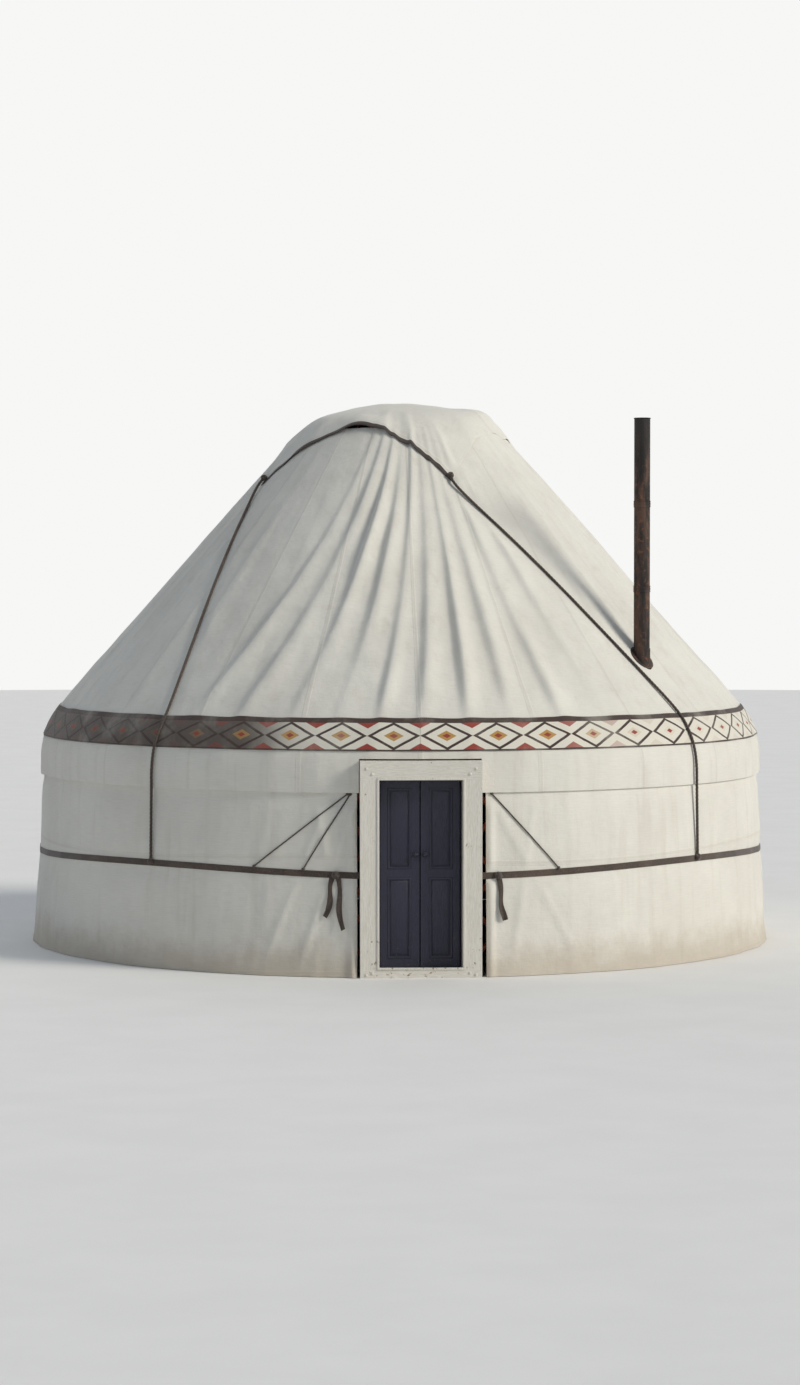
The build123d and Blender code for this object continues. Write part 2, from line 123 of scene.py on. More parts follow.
def waves(x: Grid, y: Grid, z: Grid, length: float, seed: int) -> Grid:
    """Uneven swells in space, the same on every run.

    Args:
        x: Places along X.
        y: Places along Y.
        z: Places along Z.
        length: The usual distance between two crests.
        seed: Picks the set of crests.

    Returns:
        Heights from about -1 to 1.
    """
    picks = np.random.default_rng(seed)
    total = np.zeros_like(x)
    count = 9
    for _ in range(count):
        way = picks.normal(size=3)
        way /= np.linalg.norm(way)
        pace = math.tau / (length * picks.uniform(0.6, 1.5))
        total += np.sin(pace * (way[0] * x + way[1] * y + way[2] * z) + picks.uniform(0, 6.28))
    return total / math.sqrt(count) * 0.7


def round_place(turn: Grid, radius: Grid, height: Grid) -> Grid:
    """Points at angles, distances and heights round the axis of the house."""
    return np.stack([radius * np.sin(turn), -radius * np.cos(turn), height], axis=-1)


def chord_share(turn: Grid, rounding: float = 0.35) -> Grid:
    """How far a cover that is stretched over the poles stays inside the full circle.

    Args:
        turn: Angles round the house, with a pole at 0.
        rounding: 0 for straight runs between the poles, 1 for a full circle.

    Returns:
        Factors for the radius, 1 at each pole.
    """
    step = math.tau / POLES
    off = np.mod(turn, step) - step / 2.0
    flat = math.cos(step / 2.0) / np.cos(off)
    return flat + (1.0 - flat) * rounding


def far_along(route: Grid) -> Grid:
    """How far each point of a route is from its start, along it."""
    return np.append(0.0, np.cumsum(np.linalg.norm(np.diff(route, axis=0), axis=1)))


def heading(azimuth: float, rise: float) -> Vector:
    """The way out from the house at an angle round it and above the ground, in degrees."""
    a, e = math.radians(azimuth), math.radians(rise)
    return Vector((math.sin(a) * math.cos(e), -math.cos(a) * math.cos(e), math.sin(e)))


def moved(x: float, y: float, z: float) -> Matrix:
    """A shift."""
    return Matrix.Translation((x, y, z))


def turned(degrees: float, axis: str) -> Matrix:
    """A turn about an axis."""
    return Matrix.Rotation(math.radians(degrees), 4, axis)


def linked(name: str, data: bpy.types.ID) -> Piece:
    """A new object of the scene.

    Args:
        name: Its name.
        data: Its mesh, lamp or camera.

    Returns:
        The object.
    """
    made = bpy.data.objects.new(name, data)
    bpy.context.scene.collection.objects.link(made)
    return made


def as_object(name: str, vertices: Grid, faces: list) -> Piece:
    """A linked mesh object from points and faces.

    Args:
        name: The name of the piece.
        vertices: The points.
        faces: The faces as lists of indices.

    Returns:
        The new object at the origin.
    """
    mesh = bpy.data.meshes.new(name)
    mesh.from_pydata([tuple(v) for v in vertices.tolist()], [], faces)
    mesh.validate()
    return linked(name, mesh)


def clear() -> None:
    """Selects nothing."""
    bpy.ops.object.select_all(action="DESELECT")


def only(*pieces: Piece) -> None:
    """Selects some pieces and nothing else.

    Args:
        *pieces: The pieces, with the one to work on first.
    """
    clear()
    for piece in pieces:
        piece.select_set(True)
    bpy.context.view_layer.objects.active = pieces[0]


def soften(piece: Piece, angle: float) -> None:
    """Shades a piece smooth up to an angle in degrees."""
    only(piece)
    bpy.ops.object.shade_smooth_by_angle(angle=math.radians(angle))


def finished(piece: Piece, material: Material, angle: float | None = None) -> Piece:
    """Gives a piece its finish, and shades it smooth if it has an angle.

    Args:
        piece: The piece.
        material: Its finish.
        angle: Up to which angle in degrees it is smooth.

    Returns:
        The same piece.
    """
    piece.data.materials.append(material)
    if angle is not None:
        soften(piece, angle)
    return piece


def apply_all(piece: Piece) -> None:
    """Applies the place, turn and size of a piece and its modifiers.

    Args:
        piece: The piece.
    """
    only(piece)
    bpy.ops.object.transform_apply(location=True, rotation=True, scale=True)
    for modifier in list(piece.modifiers):
        bpy.ops.object.modifier_apply(modifier=modifier.name)


def join(name: str, pieces: Sequence[Piece]) -> Piece:
    """Joins pieces into one.

    Args:
        name: The name of the result.
        pieces: What is joined.

    Returns:
        The joined piece.
    """
    only(*pieces)
    bpy.ops.object.join()
    pieces[0].name = pieces[0].data.name = name
    return pieces[0]


def copies(piece: Piece, places: Iterable[Matrix]) -> list:
    """Copies of a piece with their own meshes.

    Args:
        piece: The model, which is removed at the end.
        places: Where each copy goes.

    Returns:
        The copies, each with its place in its mesh.
    """
    made = []
    for place in places:
        mesh = piece.data.copy()
        mesh.transform(place)
        made.append(linked(piece.name, mesh))
    bpy.data.objects.remove(piece)
    return made


class Bench:
    """Starts new pieces from primitives and shapes them in edit mode."""

    @staticmethod
    def start(name: str, primitive: Callable, scale: Sequence[float] = (1.0, 1.0, 1.0),
              **values: object) -> Piece:
        """Adds a primitive and applies its place and size.

        Args:
            name: The piece's name.
            primitive: The operator that adds it.
            scale: How far it is stretched along each axis.
            **values: The operator's own settings.

        Returns:
            The piece.
        """
        clear()
        primitive(**values)
        piece = bpy.context.object
        piece.name = piece.data.name = name
        piece.scale = scale
        apply_all(piece)
        return piece

    @staticmethod
    def rod(name: str, radius: float, depth: float, sides: int = 8, ends: str = "NGON") -> Piece:
        """An upright round piece about the origin."""
        return Bench.start(name, bpy.ops.mesh.primitive_cylinder_add, vertices=sides,
                           radius=radius, depth=depth, end_fill_type=ends)

    @staticmethod
    def ring(name: str, major: float, minor: float, around: int = 14, across: int = 8) -> Piece:
        """A level ring about the origin."""
        return Bench.start(name, bpy.ops.mesh.primitive_torus_add, major_radius=major,
                           minor_radius=minor, major_segments=around, minor_segments=across)

    @staticmethod
    def open(piece: Piece) -> None:
        """Enters edit mode with all of a piece selected.

        Args:
            piece: The piece.
        """
        only(piece)
        bpy.ops.object.mode_set(mode="EDIT")
        bpy.ops.mesh.select_all(action="SELECT")

    @staticmethod
    def pick(piece: Piece, towards: Sequence[float]) -> None:
        """Selects the faces that look one way, in edit mode.

        Args:
            piece: The piece to shape.
            towards: The way that the faces look.
        """
        if piece.mode != "EDIT":
            Bench.open(piece)
        bpy.context.tool_settings.mesh_select_mode = (False, False, True)
        bpy.ops.mesh.select_all(action="DESELECT")
        shape = bmesh.from_edit_mesh(piece.data)
        for face in shape.faces:
            face.select_set(face.normal.dot(Vector(towards)) > 0.9)
        bmesh.update_edit_mesh(piece.data)

    @staticmethod
    def inset(width: float, shift: Sequence[float]) -> None:
        """Insets the selected faces and moves them."""
        bpy.ops.mesh.inset(thickness=width)
        bpy.ops.transform.translate(value=shift)

    @staticmethod
    def extrude(shift: Sequence[float]) -> None:
        """Draws out the selected faces."""
        bpy.ops.mesh.extrude_region_move(TRANSFORM_OT_translate={"value": shift})

    @staticmethod
    def done() -> None:
        """Leaves edit mode with the faces looking outward."""
        bpy.ops.mesh.select_all(action="SELECT")
        bpy.ops.mesh.normals_make_consistent(inside=False)
        bpy.ops.object.mode_set(mode="OBJECT")

    @staticmethod
    def bevel(piece: Piece, width: float, segments: int = 2) -> None:
        """Rounds the edges of a piece that are sharper than 35 degrees.

        Args:
            piece: The piece.
            width: How far from the edge the rounding starts.
            segments: The number of faces across it.
        """
        modifier = piece.modifiers.new("edge", "BEVEL")
        modifier.width = width
        modifier.segments = segments
        modifier.limit_method = "ANGLE"
        modifier.angle_limit = math.radians(35.0)
        apply_all(piece)
        soften(piece, 40.0)


@dataclass
class Cloth:
    """A sheet as two equal grids of points, with the flat place of each point."""

    outer: Grid
    inner: Grid
    flat: Grid
    gone: Grid | None = None

    def piece(self, name: str, *materials: Material) -> Piece:
        """Closes the two grids to a sheet.

        Args:
            name: The name of the piece.
            *materials: Its finish, and that of its inner face if it has one of its own.

        Returns:
            The closed sheet, with its flat places as UV.
        """
        rows, columns = self.outer.shape[:2]
        count = rows * columns
        index = np.arange(count).reshape(rows, columns)
        quads = np.stack([index[:-1, :-1], index[:-1, 1:], index[1:, 1:], index[1:, :-1]], axis=-1)
        kept = np.ones(quads.shape[:2], dtype=bool) if self.gone is None else ~self.gone
        outer = quads[kept]
        inner = outer[:, ::-1] + count
        edges = np.concatenate([outer[:, [i, (i + 1) % 4]] for i in range(4)])
        keys = np.sort(edges, axis=1)
        keys = keys[:, 0] * count + keys[:, 1]
        _, first, times = np.unique(keys, return_index=True, return_counts=True)
        rim = edges[first[times == 1]]
        rim = np.stack([rim[:, 1], rim[:, 0], rim[:, 0] + count, rim[:, 1] + count], axis=-1)
        faces = np.concatenate([outer, inner, rim])
        points = np.concatenate([self.outer.reshape(-1, 3), self.inner.reshape(-1, 3)])
        used = np.unique(faces)
        place = np.zeros(2 * count, dtype=int)
        place[used] = np.arange(len(used))
        piece = as_object(name, points[used], place[faces].tolist())
        flat = np.concatenate([self.flat.reshape(-1, 2), self.flat.reshape(-1, 2)])[used]
        layer = piece.data.uv_layers.new(name="flat")
        corners = np.empty(len(piece.data.loops), dtype=np.int32)
        piece.data.loops.foreach_get("vertex_index", corners)
        layer.data.foreach_set("uv", flat[corners].astype(np.float32).ravel())
        if len(materials) > 1:
            finish = np.zeros(len(piece.data.polygons), dtype=np.int32)
            finish[len(outer):2 * len(outer)] = 1
            piece.data.polygons.foreach_set("material_index", finish)
        soften(piece, 50.0)
        for material in materials:
            piece.data.materials.append(material)
        return piece


# ---------------------------------------------------------------- helpers for materials


class Nodes:
    """A node tree that is written as short calls."""

    def __init__(self, tree: Tree) -> None:
        """Keeps the tree that the calls write to."""
        self.tree = tree

    def feed(self, socket: Socket, value: object) -> None:
        """Links a socket into another, or sets a plain value on it.

        Args:
            socket: The input.
            value: A socket or a value; None leaves the input as it is.
        """
        if isinstance(value, Socket):
            self.tree.links.new(value, socket)
        elif value is not None:
            socket.default_value = value

    def add(self, kind: str, *feeds: object, **values: object) -> bpy.types.Node:
        """Adds a node.

        Args:
            kind: Its type, without the ShaderNode prefix.
            *feeds: What goes into its inputs, in order.
            **values: Its own settings.

        Returns:
            The node.
        """
        node = self.tree.nodes.new("ShaderNode" + kind)
        for name, value in values.items():
            setattr(node, name, value)
        for socket, value in zip(node.inputs, feeds):
            self.feed(socket, value)
        return node

    def fill(self, node: bpy.types.Node, **feeds: object) -> bpy.types.Node:
        """Feeds inputs of a node by name.

        Args:
            node: The node.
            **feeds: What goes into each input, with _ for a space in its name.

        Returns:
            The same node.
        """
        for label, value in feeds.items():
            self.feed(node.inputs[label.replace("_", " ")], value)
        return node

    def sums(self, kind: str, *numbers: object) -> Socket:
        """The result of a named arithmetic step."""
        return self.add("Math", *numbers, operation=kind).outputs[0]

    def plus(self, a: object, b: object) -> Socket:
        """The sum of two numbers."""
        return self.sums("ADD", a, b)

    def minus(self, a: object, b: object) -> Socket:
        """The difference of two numbers."""
        return self.sums("SUBTRACT", a, b)

    def times(self, a: object, b: object) -> Socket:
        """The product of two numbers."""
        return self.sums("MULTIPLY", a, b)

    def size(self, a: object) -> Socket:
        """A number without its sign."""
        return self.sums("ABSOLUTE", a)

    def sine(self, a: object) -> Socket:
        """The sine of a number."""
        return self.sums("SINE", a)

    def fit(self, value: object, low: float, high: float, to_low: float = 0.0,
            to_high: float = 1.0) -> Socket:
        """Maps one range of numbers softly to another."""
        return self.add("MapRange", value, low, high, to_low, to_high,
                        interpolation_type="SMOOTHSTEP").outputs[0]

    def blend(self, share: object, a: object, b: object, kind: str = "MIX") -> Socket:
        """Mixes two colours.

        Args:
            share: How much of the second one.
            a: The first colour or socket.
            b: The second one.
            kind: How they are mixed.

        Returns:
            The mixed colour's socket.
        """
        node = self.add("Mix", share, data_type="RGBA", blend_type=kind)
        for number, colour in ((6, a), (7, b)):  # the inputs that hold colours
            self.feed(node.inputs[number], colour)
        return node.outputs[2]

    def coats(self, colour: object, *layers: tuple) -> Socket:
        """Lays colours over one another.

        Args:
            colour: The lowest colour or socket.
            *layers: Pairs of how much a colour covers and the colour.

        Returns:
            The last mixed colour's socket.
        """
        for share, layer in layers:
            colour = self.blend(share, colour, layer)
        return colour

    def noise(self, place: object, scale: float, detail: float = 3.0,
              rough: float = 0.55) -> Socket:
        """Noise from 0 to 1 at a place, with so many patches to a metre."""
        return self.fill(self.add("TexNoise"), Vector=place, Scale=scale, Detail=detail,
                         Roughness=rough).outputs[0]

    def stretch(self, place: object, size: tuple) -> Socket:
        """Scales a place along each axis."""
        return self.fill(self.add("Mapping"), Vector=place, Scale=size).outputs[0]

    def parts(self, place: object) -> tuple:
        """The three numbers of a place."""
        return tuple(self.add("SeparateXYZ", place).outputs)


def darker(colour: tuple, share: float) -> tuple:
    """A share of a colour."""
    return tuple(c * share for c in colour[:3]) + (1.0,)


def group(name: str, inputs: dict, outputs: Sequence[str]) -> tuple:
    """A new shared node group.

    Args:
        name: What the effect is called.
        inputs: The socket type of each input.
        outputs: The names of its outputs, which are all plain numbers.

    Returns:
        The group's tree, its writer, its inputs and its output node.
    """
    tree = bpy.data.node_groups.new(name, "ShaderNodeTree")
    for label, kind in inputs.items():
        tree.interface.new_socket(label, in_out="INPUT", socket_type="NodeSocket" + kind)
    for label in outputs:
        tree.interface.new_socket(label, in_out="OUTPUT", socket_type="NodeSocketFloat")
    start = tree.nodes.new("NodeGroupInput")
    end = tree.nodes.new("NodeGroupOutput")
    return tree, Nodes(tree), start.outputs, end


def weave_group() -> Tree:
    """Plain weave of cotton canvas, with its threads, slubs and height.

    Returns:
        The group.
    """
    tree, w, start, end = group(
        "canvas weave", {"Flat": "Vector", "Threads": "Float"}, ("Shade", "Height"))
    across, along, _ = w.parts(start["Flat"])
    heights = []
    for way, other in ((across, along), (along, across)):
        wave = w.sine(w.times(w.times(way, start["Threads"]), math.pi))
        cross = w.sine(w.times(w.times(other, start["Threads"]), math.pi))
        heights.append(w.times(w.size(wave), w.plus(w.times(cross, 0.3), 0.7)))
    woven = w.sums("MAXIMUM", *heights)
    slub = w.noise(w.stretch(start["Flat"], (8.0, 160.0, 1.0)), 1.0)
    w.fill(end, Height=w.plus(woven, w.times(slub, 0.7)), Shade=w.fit(slub, 0.3, 0.7, 0.965, 1.02))
    return tree


def weather_group() -> Tree:
    """Dust that is splashed up from the ground, runs below seams and sun bleaching.

    Returns:
        The group.
    """
    tree, w, start, end = group("weather", {"Place": "Vector"}, ("Dust", "Streaks", "Patches"))
    place = start["Place"]
    _, _, height = w.parts(place)
    ragged = w.noise(place, 5.0, 5.0, 0.65)
    rise = w.plus(height, w.times(w.minus(ragged, 0.5), -0.35))
    streak = w.noise(w.stretch(place, (9.0, 9.0, 0.7)), 1.0, 4.0, 0.6)
    w.fill(end, Dust=w.fit(rise, 0.02, 0.34, 1.0, 0.0), Streaks=w.fit(streak, 0.5, 0.78),
           Patches=w.fit(w.noise(place, 1.1, 4.0, 0.6), 0.3, 0.7))
    return tree


def grain_group() -> Tree:
    """Wood grain, drawn out along one direction of the place that is given.

    Returns:
        The group.
    """
    tree, w, start, end = group("wood grain", {"Place": "Vector"}, ("Tone", "Height"))
    rings = w.noise(start["Place"], 1.0, 5.0, 0.6)
    fine = w.noise(w.stretch(start["Place"], (4.0, 4.0, 1.6)), 1.0, 4.0, 0.7)
    lines = w.size(w.minus(w.sums("FRACT", w.times(rings, 7.0)), 0.5))
    tone = w.plus(w.times(lines, 0.8), w.times(fine, 0.6))
    w.fill(end, Tone=w.fit(tone, 0.2, 0.8), Height=w.plus(w.times(lines, 0.5), fine))
    return tree


def worn_group() -> Tree:
    """Worn paint: chips that grow where hands, feet and rain reach.

    Returns:
        The group.
    """
    tree, w, start, end = group(
        "worn paint", {"Place": "Vector", "Amount": "Float"}, ("Bare", "Edge"))
    chips = w.noise(start["Place"], 16.0, 6.0, 0.7)
    limit = w.minus(0.74, start["Amount"])
    bare = w.add("MapRange", chips, limit, w.plus(limit, 0.03))
    edge = w.add("MapRange", chips, w.minus(limit, 0.04), limit)
    w.fill(end, Bare=bare.outputs[0], Edge=edge.outputs[0])
    return tree


@dataclass
class Shared:
    """The node groups that several finishes use."""

    weave: Tree = field(default_factory=weave_group)
    weather: Tree = field(default_factory=weather_group)
    grain: Tree = field(default_factory=grain_group)
    worn: Tree = field(default_factory=worn_group)


class Paint:
    """A material under way: its writer, shader and usual places."""

    def __init__(self, name: str, rough: float, **shader: float) -> None:
        """Starts a material.

        Args:
            name: The finish's name.
            rough: The roughness set on the shader.
            **shader: Plain values for the shader's other sockets.
        """
        self.material = bpy.data.materials.new(name)
        self.material.use_nodes = True
        self.write = Nodes(self.material.node_tree)
        self.shader = self.material.node_tree.nodes["Principled BSDF"]
        self.write.fill(self.shader, Roughness=rough, **shader)
        coordinate = self.write.add("TexCoord")
        self.place = coordinate.outputs["Object"]
        self.flat = coordinate.outputs["UV"]

    def use(self, tree: Tree, **inputs: object) -> bpy.types.bpy_prop_collection:
        """Puts a shared group in this material and returns its outputs."""
        return self.write.fill(self.write.add("Group", node_tree=tree), **inputs).outputs

    def relief(self, layers: Sequence[tuple]) -> None:
        """Feeds the shader's normal from heights.

        Args:
            layers: Pairs of a height's socket and its depth in metres.
        """
        normal = None
        for height, depth in layers:
            normal = self.write.fill(self.write.add("Bump"), Strength=1.0, Distance=depth,
                                     Height=height, Normal=normal).outputs[0]
        self.write.fill(self.shader, Normal=normal)

    def colour(self, value: object) -> None:
        """Feeds the shader's base colour."""
        self.write.fill(self.shader, Base_Color=value)

    def roughness(self, value: object) -> None:
        """Feeds the shader's roughness."""
        self.write.fill(self.shader, Roughness=value)


@dataclass(frozen=True)
class CanvasFinish:
    """White cotton canvas over felt, sewn from widths, dusty near the ground."""

    name: str = "white canvas"
    cloth: tuple = (0.80, 0.775, 0.70, 1.0)
    faded: tuple = (0.72, 0.69, 0.62, 1.0)
    dust: tuple = (0.40, 0.31, 0.21, 1.0)
    streaks: float = 0.16
    splash: float = 0.5
    # How far the cloth is darkened towards the dust colour along each seam.
    seam_darkening: float = 0.12
    threads: float = 420.0
    stitches: float = 900.0
    width: float = 0.92
    level: bool = False
    # A dark band of painted shade along two opposite edges, as under an edge that stands up: its
    # colour, and where it starts from the middle.
    edge_shade: tuple | None = None
    edge_shade_half: float = 0.0

    def make(self, shared: Shared) -> Material:
        """Builds the material.

        Args:
            shared: The shared node groups.

        Returns:
            The finished material.
        """
        p = Paint(self.name, 0.9, Sheen_Weight=0.15, Sheen_Roughness=0.6)
        w = p.write
        weather = p.use(shared.weather, Place=p.place)
        weave = p.use(shared.weave, Flat=p.flat, Threads=self.threads)
        across, along, _ = w.parts(p.flat)
        strip = across
        if self.level:
            strip = w.plus(along, w.times(w.sine(w.times(across, 1.3)), 0.03))
        strip = w.sums("PINGPONG", strip, self.width / 2.0)
        seam = w.fit(strip, 0.004, 0.014, 1.0, 0.0)
        lap = w.fit(strip, 0.016, 0.022, 1.0, 0.0)
        pace = w.times(across if self.level else along, self.stitches)
        stitch = w.sums("GREATER_THAN", w.sine(pace), 0.0)
        thread = w.times(w.fit(w.size(w.minus(strip, 0.012)), 0.0005, 0.0016, 1.0, 0.0), stitch)
        # Along each seam the cloth is darker, in the dust colour.
        colour = w.coats(self.cloth, (weather["Patches"], self.faded),
                         (w.times(weather["Streaks"], self.streaks), self.dust),
                         (w.times(weather["Dust"], self.splash), self.dust),
                         (w.times(seam, self.seam_darkening), self.dust))
        tone = w.add("CombineColor", *[weave["Shade"]] * 3)
        colour = w.blend(1.0, colour, tone.outputs[0], "MULTIPLY")
        # Painted shade: a dark band along the two edges that lie across the sheet.
        if self.edge_shade is not None:
            edge = w.fit(w.size(across), self.edge_shade_half - 0.003, self.edge_shade_half)
            colour = w.blend(edge, colour, self.edge_shade)
        p.colour(colour)
        creases = w.noise(p.place, 9.0, 5.0, 0.6)
        p.relief([(creases, 0.006), (lap, 0.0012), (thread, 0.0006), (weave["Height"], 0.0004)])
        return p.material


@dataclass(frozen=True)
class BandFinish:
    """Woven band with diamond outlines, filled with dark wool towards the left side; that fill is
    partly a denser pattern and partly painted shade of the side away from the light.

    A diamond's parts are measured from its middle, in shares of the way to the band's edge.
    """

    name: str
    dark_fill_and_shade: float
    height: float = 0.23
    core: tuple = (0.15, 0.18)
    heart: tuple = (0.36, 0.39)
    outline: float = 0.90
    corner: tuple = (1.52, 1.55)
    hem: tuple = (0.90, 0.92)
    repeat: float = math.tau * BAND_RADIUS / 23.0
    ground: tuple = (0.76, 0.72, 0.62, 1.0)
    dark: tuple = (0.045, 0.026, 0.020, 1.0)
    red: tuple = (0.30, 0.045, 0.030, 1.0)
    ochre: tuple = (0.46, 0.26, 0.07, 1.0)

    def make(self, shared: Shared) -> Material:
        """Builds the material.

        Args:
            shared: The shared node groups.

        Returns:
            The finished material.
        """
        p = Paint(self.name, 0.88, Sheen_Weight=0.2, Sheen_Roughness=0.5)
        w = p.write
        across, up, _ = w.parts(p.flat)
        wobble = w.times(w.minus(w.noise(p.flat, 14.0, 2.0), 0.5), 0.012)
        along = w.plus(across, wobble)
        v = w.sums("DIVIDE", up, self.height)
        tri = w.sums("DIVIDE", w.sums("PINGPONG", along, self.repeat / 2.0), self.repeat / 2.0)
        tri = w.size(w.minus(w.times(tri, 2.0), 1.0))
        mid = w.size(w.minus(w.times(v, 2.0), 1.0))
        far = w.plus(tri, w.times(mid, 1.05))
        outline = w.fit(w.size(w.minus(far, self.outline)), 0.085, 0.11, 1.0, 0.0)
        heart = w.fit(far, *self.heart, 1.0, 0.0)
        core = w.fit(far, *self.core, 1.0, 0.0)
        corner = w.fit(far, *self.corner)
        hem = w.fit(mid, *self.hem)
        left, _, _ = w.parts(p.place)
        # Dark fill towards -X: partly a denser pattern, partly painted shade of that side.
        thick = w.fit(left, -0.75, -1.35, 0.0, self.dark_fill_and_shade)
        front = w.fit(w.size(left), 0.9, 1.9, 1.0, 0.12)
        fade = w.noise(p.place, 3.0, 4.0, 0.6)
        p.colour(w.coats(self.ground, (thick, self.dark), (outline, self.dark),
                         (w.times(heart, front), self.ochre), (core, self.red),
                         (w.times(corner, front), self.red), (hem, self.dark),
                         (w.fit(fade, 0.45, 0.8, 0.0, 0.3), self.ground)))
        weave = p.use(shared.weave, Flat=p.flat, Threads=260.0)
        p.relief([(fade, 0.003), (outline, 0.0012), (weave["Height"], 0.0008)])
        return p.material


@dataclass(frozen=True)
class WoolFinish:
    """Dark twisted or braided wool of ropes and straps."""

    name: str = "dark wool"
    dark: tuple = (0.045, 0.032, 0.026, 1.0)
    light: tuple = (0.17, 0.125, 0.095, 1.0)
    scale: float = 140.0

    def make(self) -> Material:
        """Builds the material.

        Returns:
            The finished material.
        """
        p = Paint(self.name, 0.92, Sheen_Weight=0.3, Sheen_Roughness=0.5)
        w = p.write
        hair = w.noise(p.place, self.scale, 4.0, 0.7)
        fade = w.noise(p.place, 4.0, 3.0)
        share = w.plus(w.fit(hair, 0.4, 0.75, 0.0, 0.6), w.fit(fade, 0.4, 0.8, 0.0, 0.4))
        p.colour(w.blend(share, self.dark, self.light))
        p.relief([(hair, 0.0015)])
        return p.material


@dataclass(frozen=True)
class FeltFinish:
    """Pressed wool felt in its own pale brown, as it shows inside the house."""

    name: str = "wool felt"
    light: tuple = (0.60, 0.55, 0.46, 1.0)
    dark: tuple = (0.36, 0.31, 0.24, 1.0)

    def make(self) -> Material:
        """Builds the material.

        Returns:
            The finished material.
        """
        p = Paint(self.name, 0.95)
        w = p.write
        clouds = w.noise(p.place, 2.2, 4.0, 0.6)
        tufts = w.noise(p.place, 38.0, 5.0, 0.7)
        hair = w.noise(p.place, 420.0, 3.0, 0.7)
        p.colour(w.coats(self.dark, (w.fit(clouds, 0.35, 0.65), self.light),
                         (w.fit(tufts, 0.52, 0.72, 0.0, 0.55), self.light),
                         (w.fit(hair, 0.58, 0.70, 0.0, 0.6), self.dark)))
        p.roughness(w.fit(hair, 0.2, 0.8, 0.86, 0.99))
        p.relief([(tufts, 0.003), (hair, 0.0008)])
        return p.material


@dataclass(frozen=True)
class WoodFinish:
    """Painted wood, whose grain shows and whose paint is worn."""

    name: str
    paint: tuple
    shade: tuple
    bare: tuple = (0.34, 0.22, 0.12, 1.0)
    wear: float = 0.06
    stretch: tuple = (60.0, 60.0, 4.0)
    bent: bool = False
    rough: float = 0.5
    coat: float = 0.0

    def grain_place(self, p: Paint) -> Socket:
        """The place that the grain is drawn out in.

        Args:
            p: The material under way.

        Returns:
            The place; for bent wood it runs round the house, outward and up.
        """
        w, place = p.write, p.place
        if self.bent:
            x, y, z = w.parts(place)
            outward = w.sums("SQRT", w.plus(w.times(x, x), w.times(y, y)))
            around = w.times(w.sums("ARCTAN2", x, y), 2.0)
            place = w.add("CombineXYZ", around, outward, z).outputs[0]
        return w.stretch(place, self.stretch)

    def make(self, shared: Shared) -> Material:
        """Builds the material.

        Args:
            shared: The shared node groups.

        Returns:
            The finished material.
        """
        p = Paint(self.name, self.rough, Coat_Weight=self.coat, Coat_Roughness=0.25)
        w = p.write
        grain = p.use(shared.grain, Place=self.grain_place(p))
        _, _, height = w.parts(p.place)
        low = w.fit(height, 0.0, 0.5, 0.07, 0.0)
        worn = p.use(shared.worn, Place=p.place, Amount=w.plus(low, self.wear))
        wood = w.blend(grain["Tone"], self.bare, darker(self.bare, 0.6))
        p.colour(w.coats(self.paint, (grain["Tone"], self.shade),
                         (w.times(worn["Edge"], 0.4), self.shade), (worn["Bare"], wood)))
        p.roughness(w.plus(w.times(worn["Bare"], 0.3), w.fit(
            grain["Tone"], 0.0, 1.0, self.rough - 0.06, self.rough + 0.08)))
        chip = w.minus(1.0, worn["Bare"])
        p.relief([(grain["Height"], 0.0012), (chip, 0.0006)])
        return p.material


@dataclass(frozen=True)
class SteelFinish:
    """Rolled stovepipe steel, brown with heat and soot."""

    name: str = "sooty steel"
    brown: tuple = (0.085, 0.045, 0.030, 1.0)
    soot: tuple = (0.016, 0.013, 0.012, 1.0)
    rust: tuple = (0.22, 0.085, 0.035, 1.0)

    def make(self) -> Material:
        """Builds the material.

        Returns:
            The finished material.
        """
        p = Paint(self.name, 0.6, Metallic=0.35)
        w = p.write
        _, _, height = w.parts(p.place)
        ragged = w.noise(w.stretch(p.place, (14.0, 14.0, 3.0)), 1.0, 5.0, 0.65)
        top = w.fit(w.plus(height, w.times(ragged, 0.5)), 3.9, 4.3)
        rust = w.fit(w.noise(p.place, 26.0, 5.0, 0.7), 0.55, 0.68)
        p.colour(w.coats(self.brown, (w.fit(ragged, 0.35, 0.6), self.soot),
                         (w.times(rust, 0.7), self.rust), (top, self.soot)))
        p.roughness(w.fit(ragged, 0.2, 0.8, 0.45, 0.8))
        p.relief([(rust, 0.0004), (ragged, 0.001)])
        return p.material


# ---------------------------------------------------------------- the covers


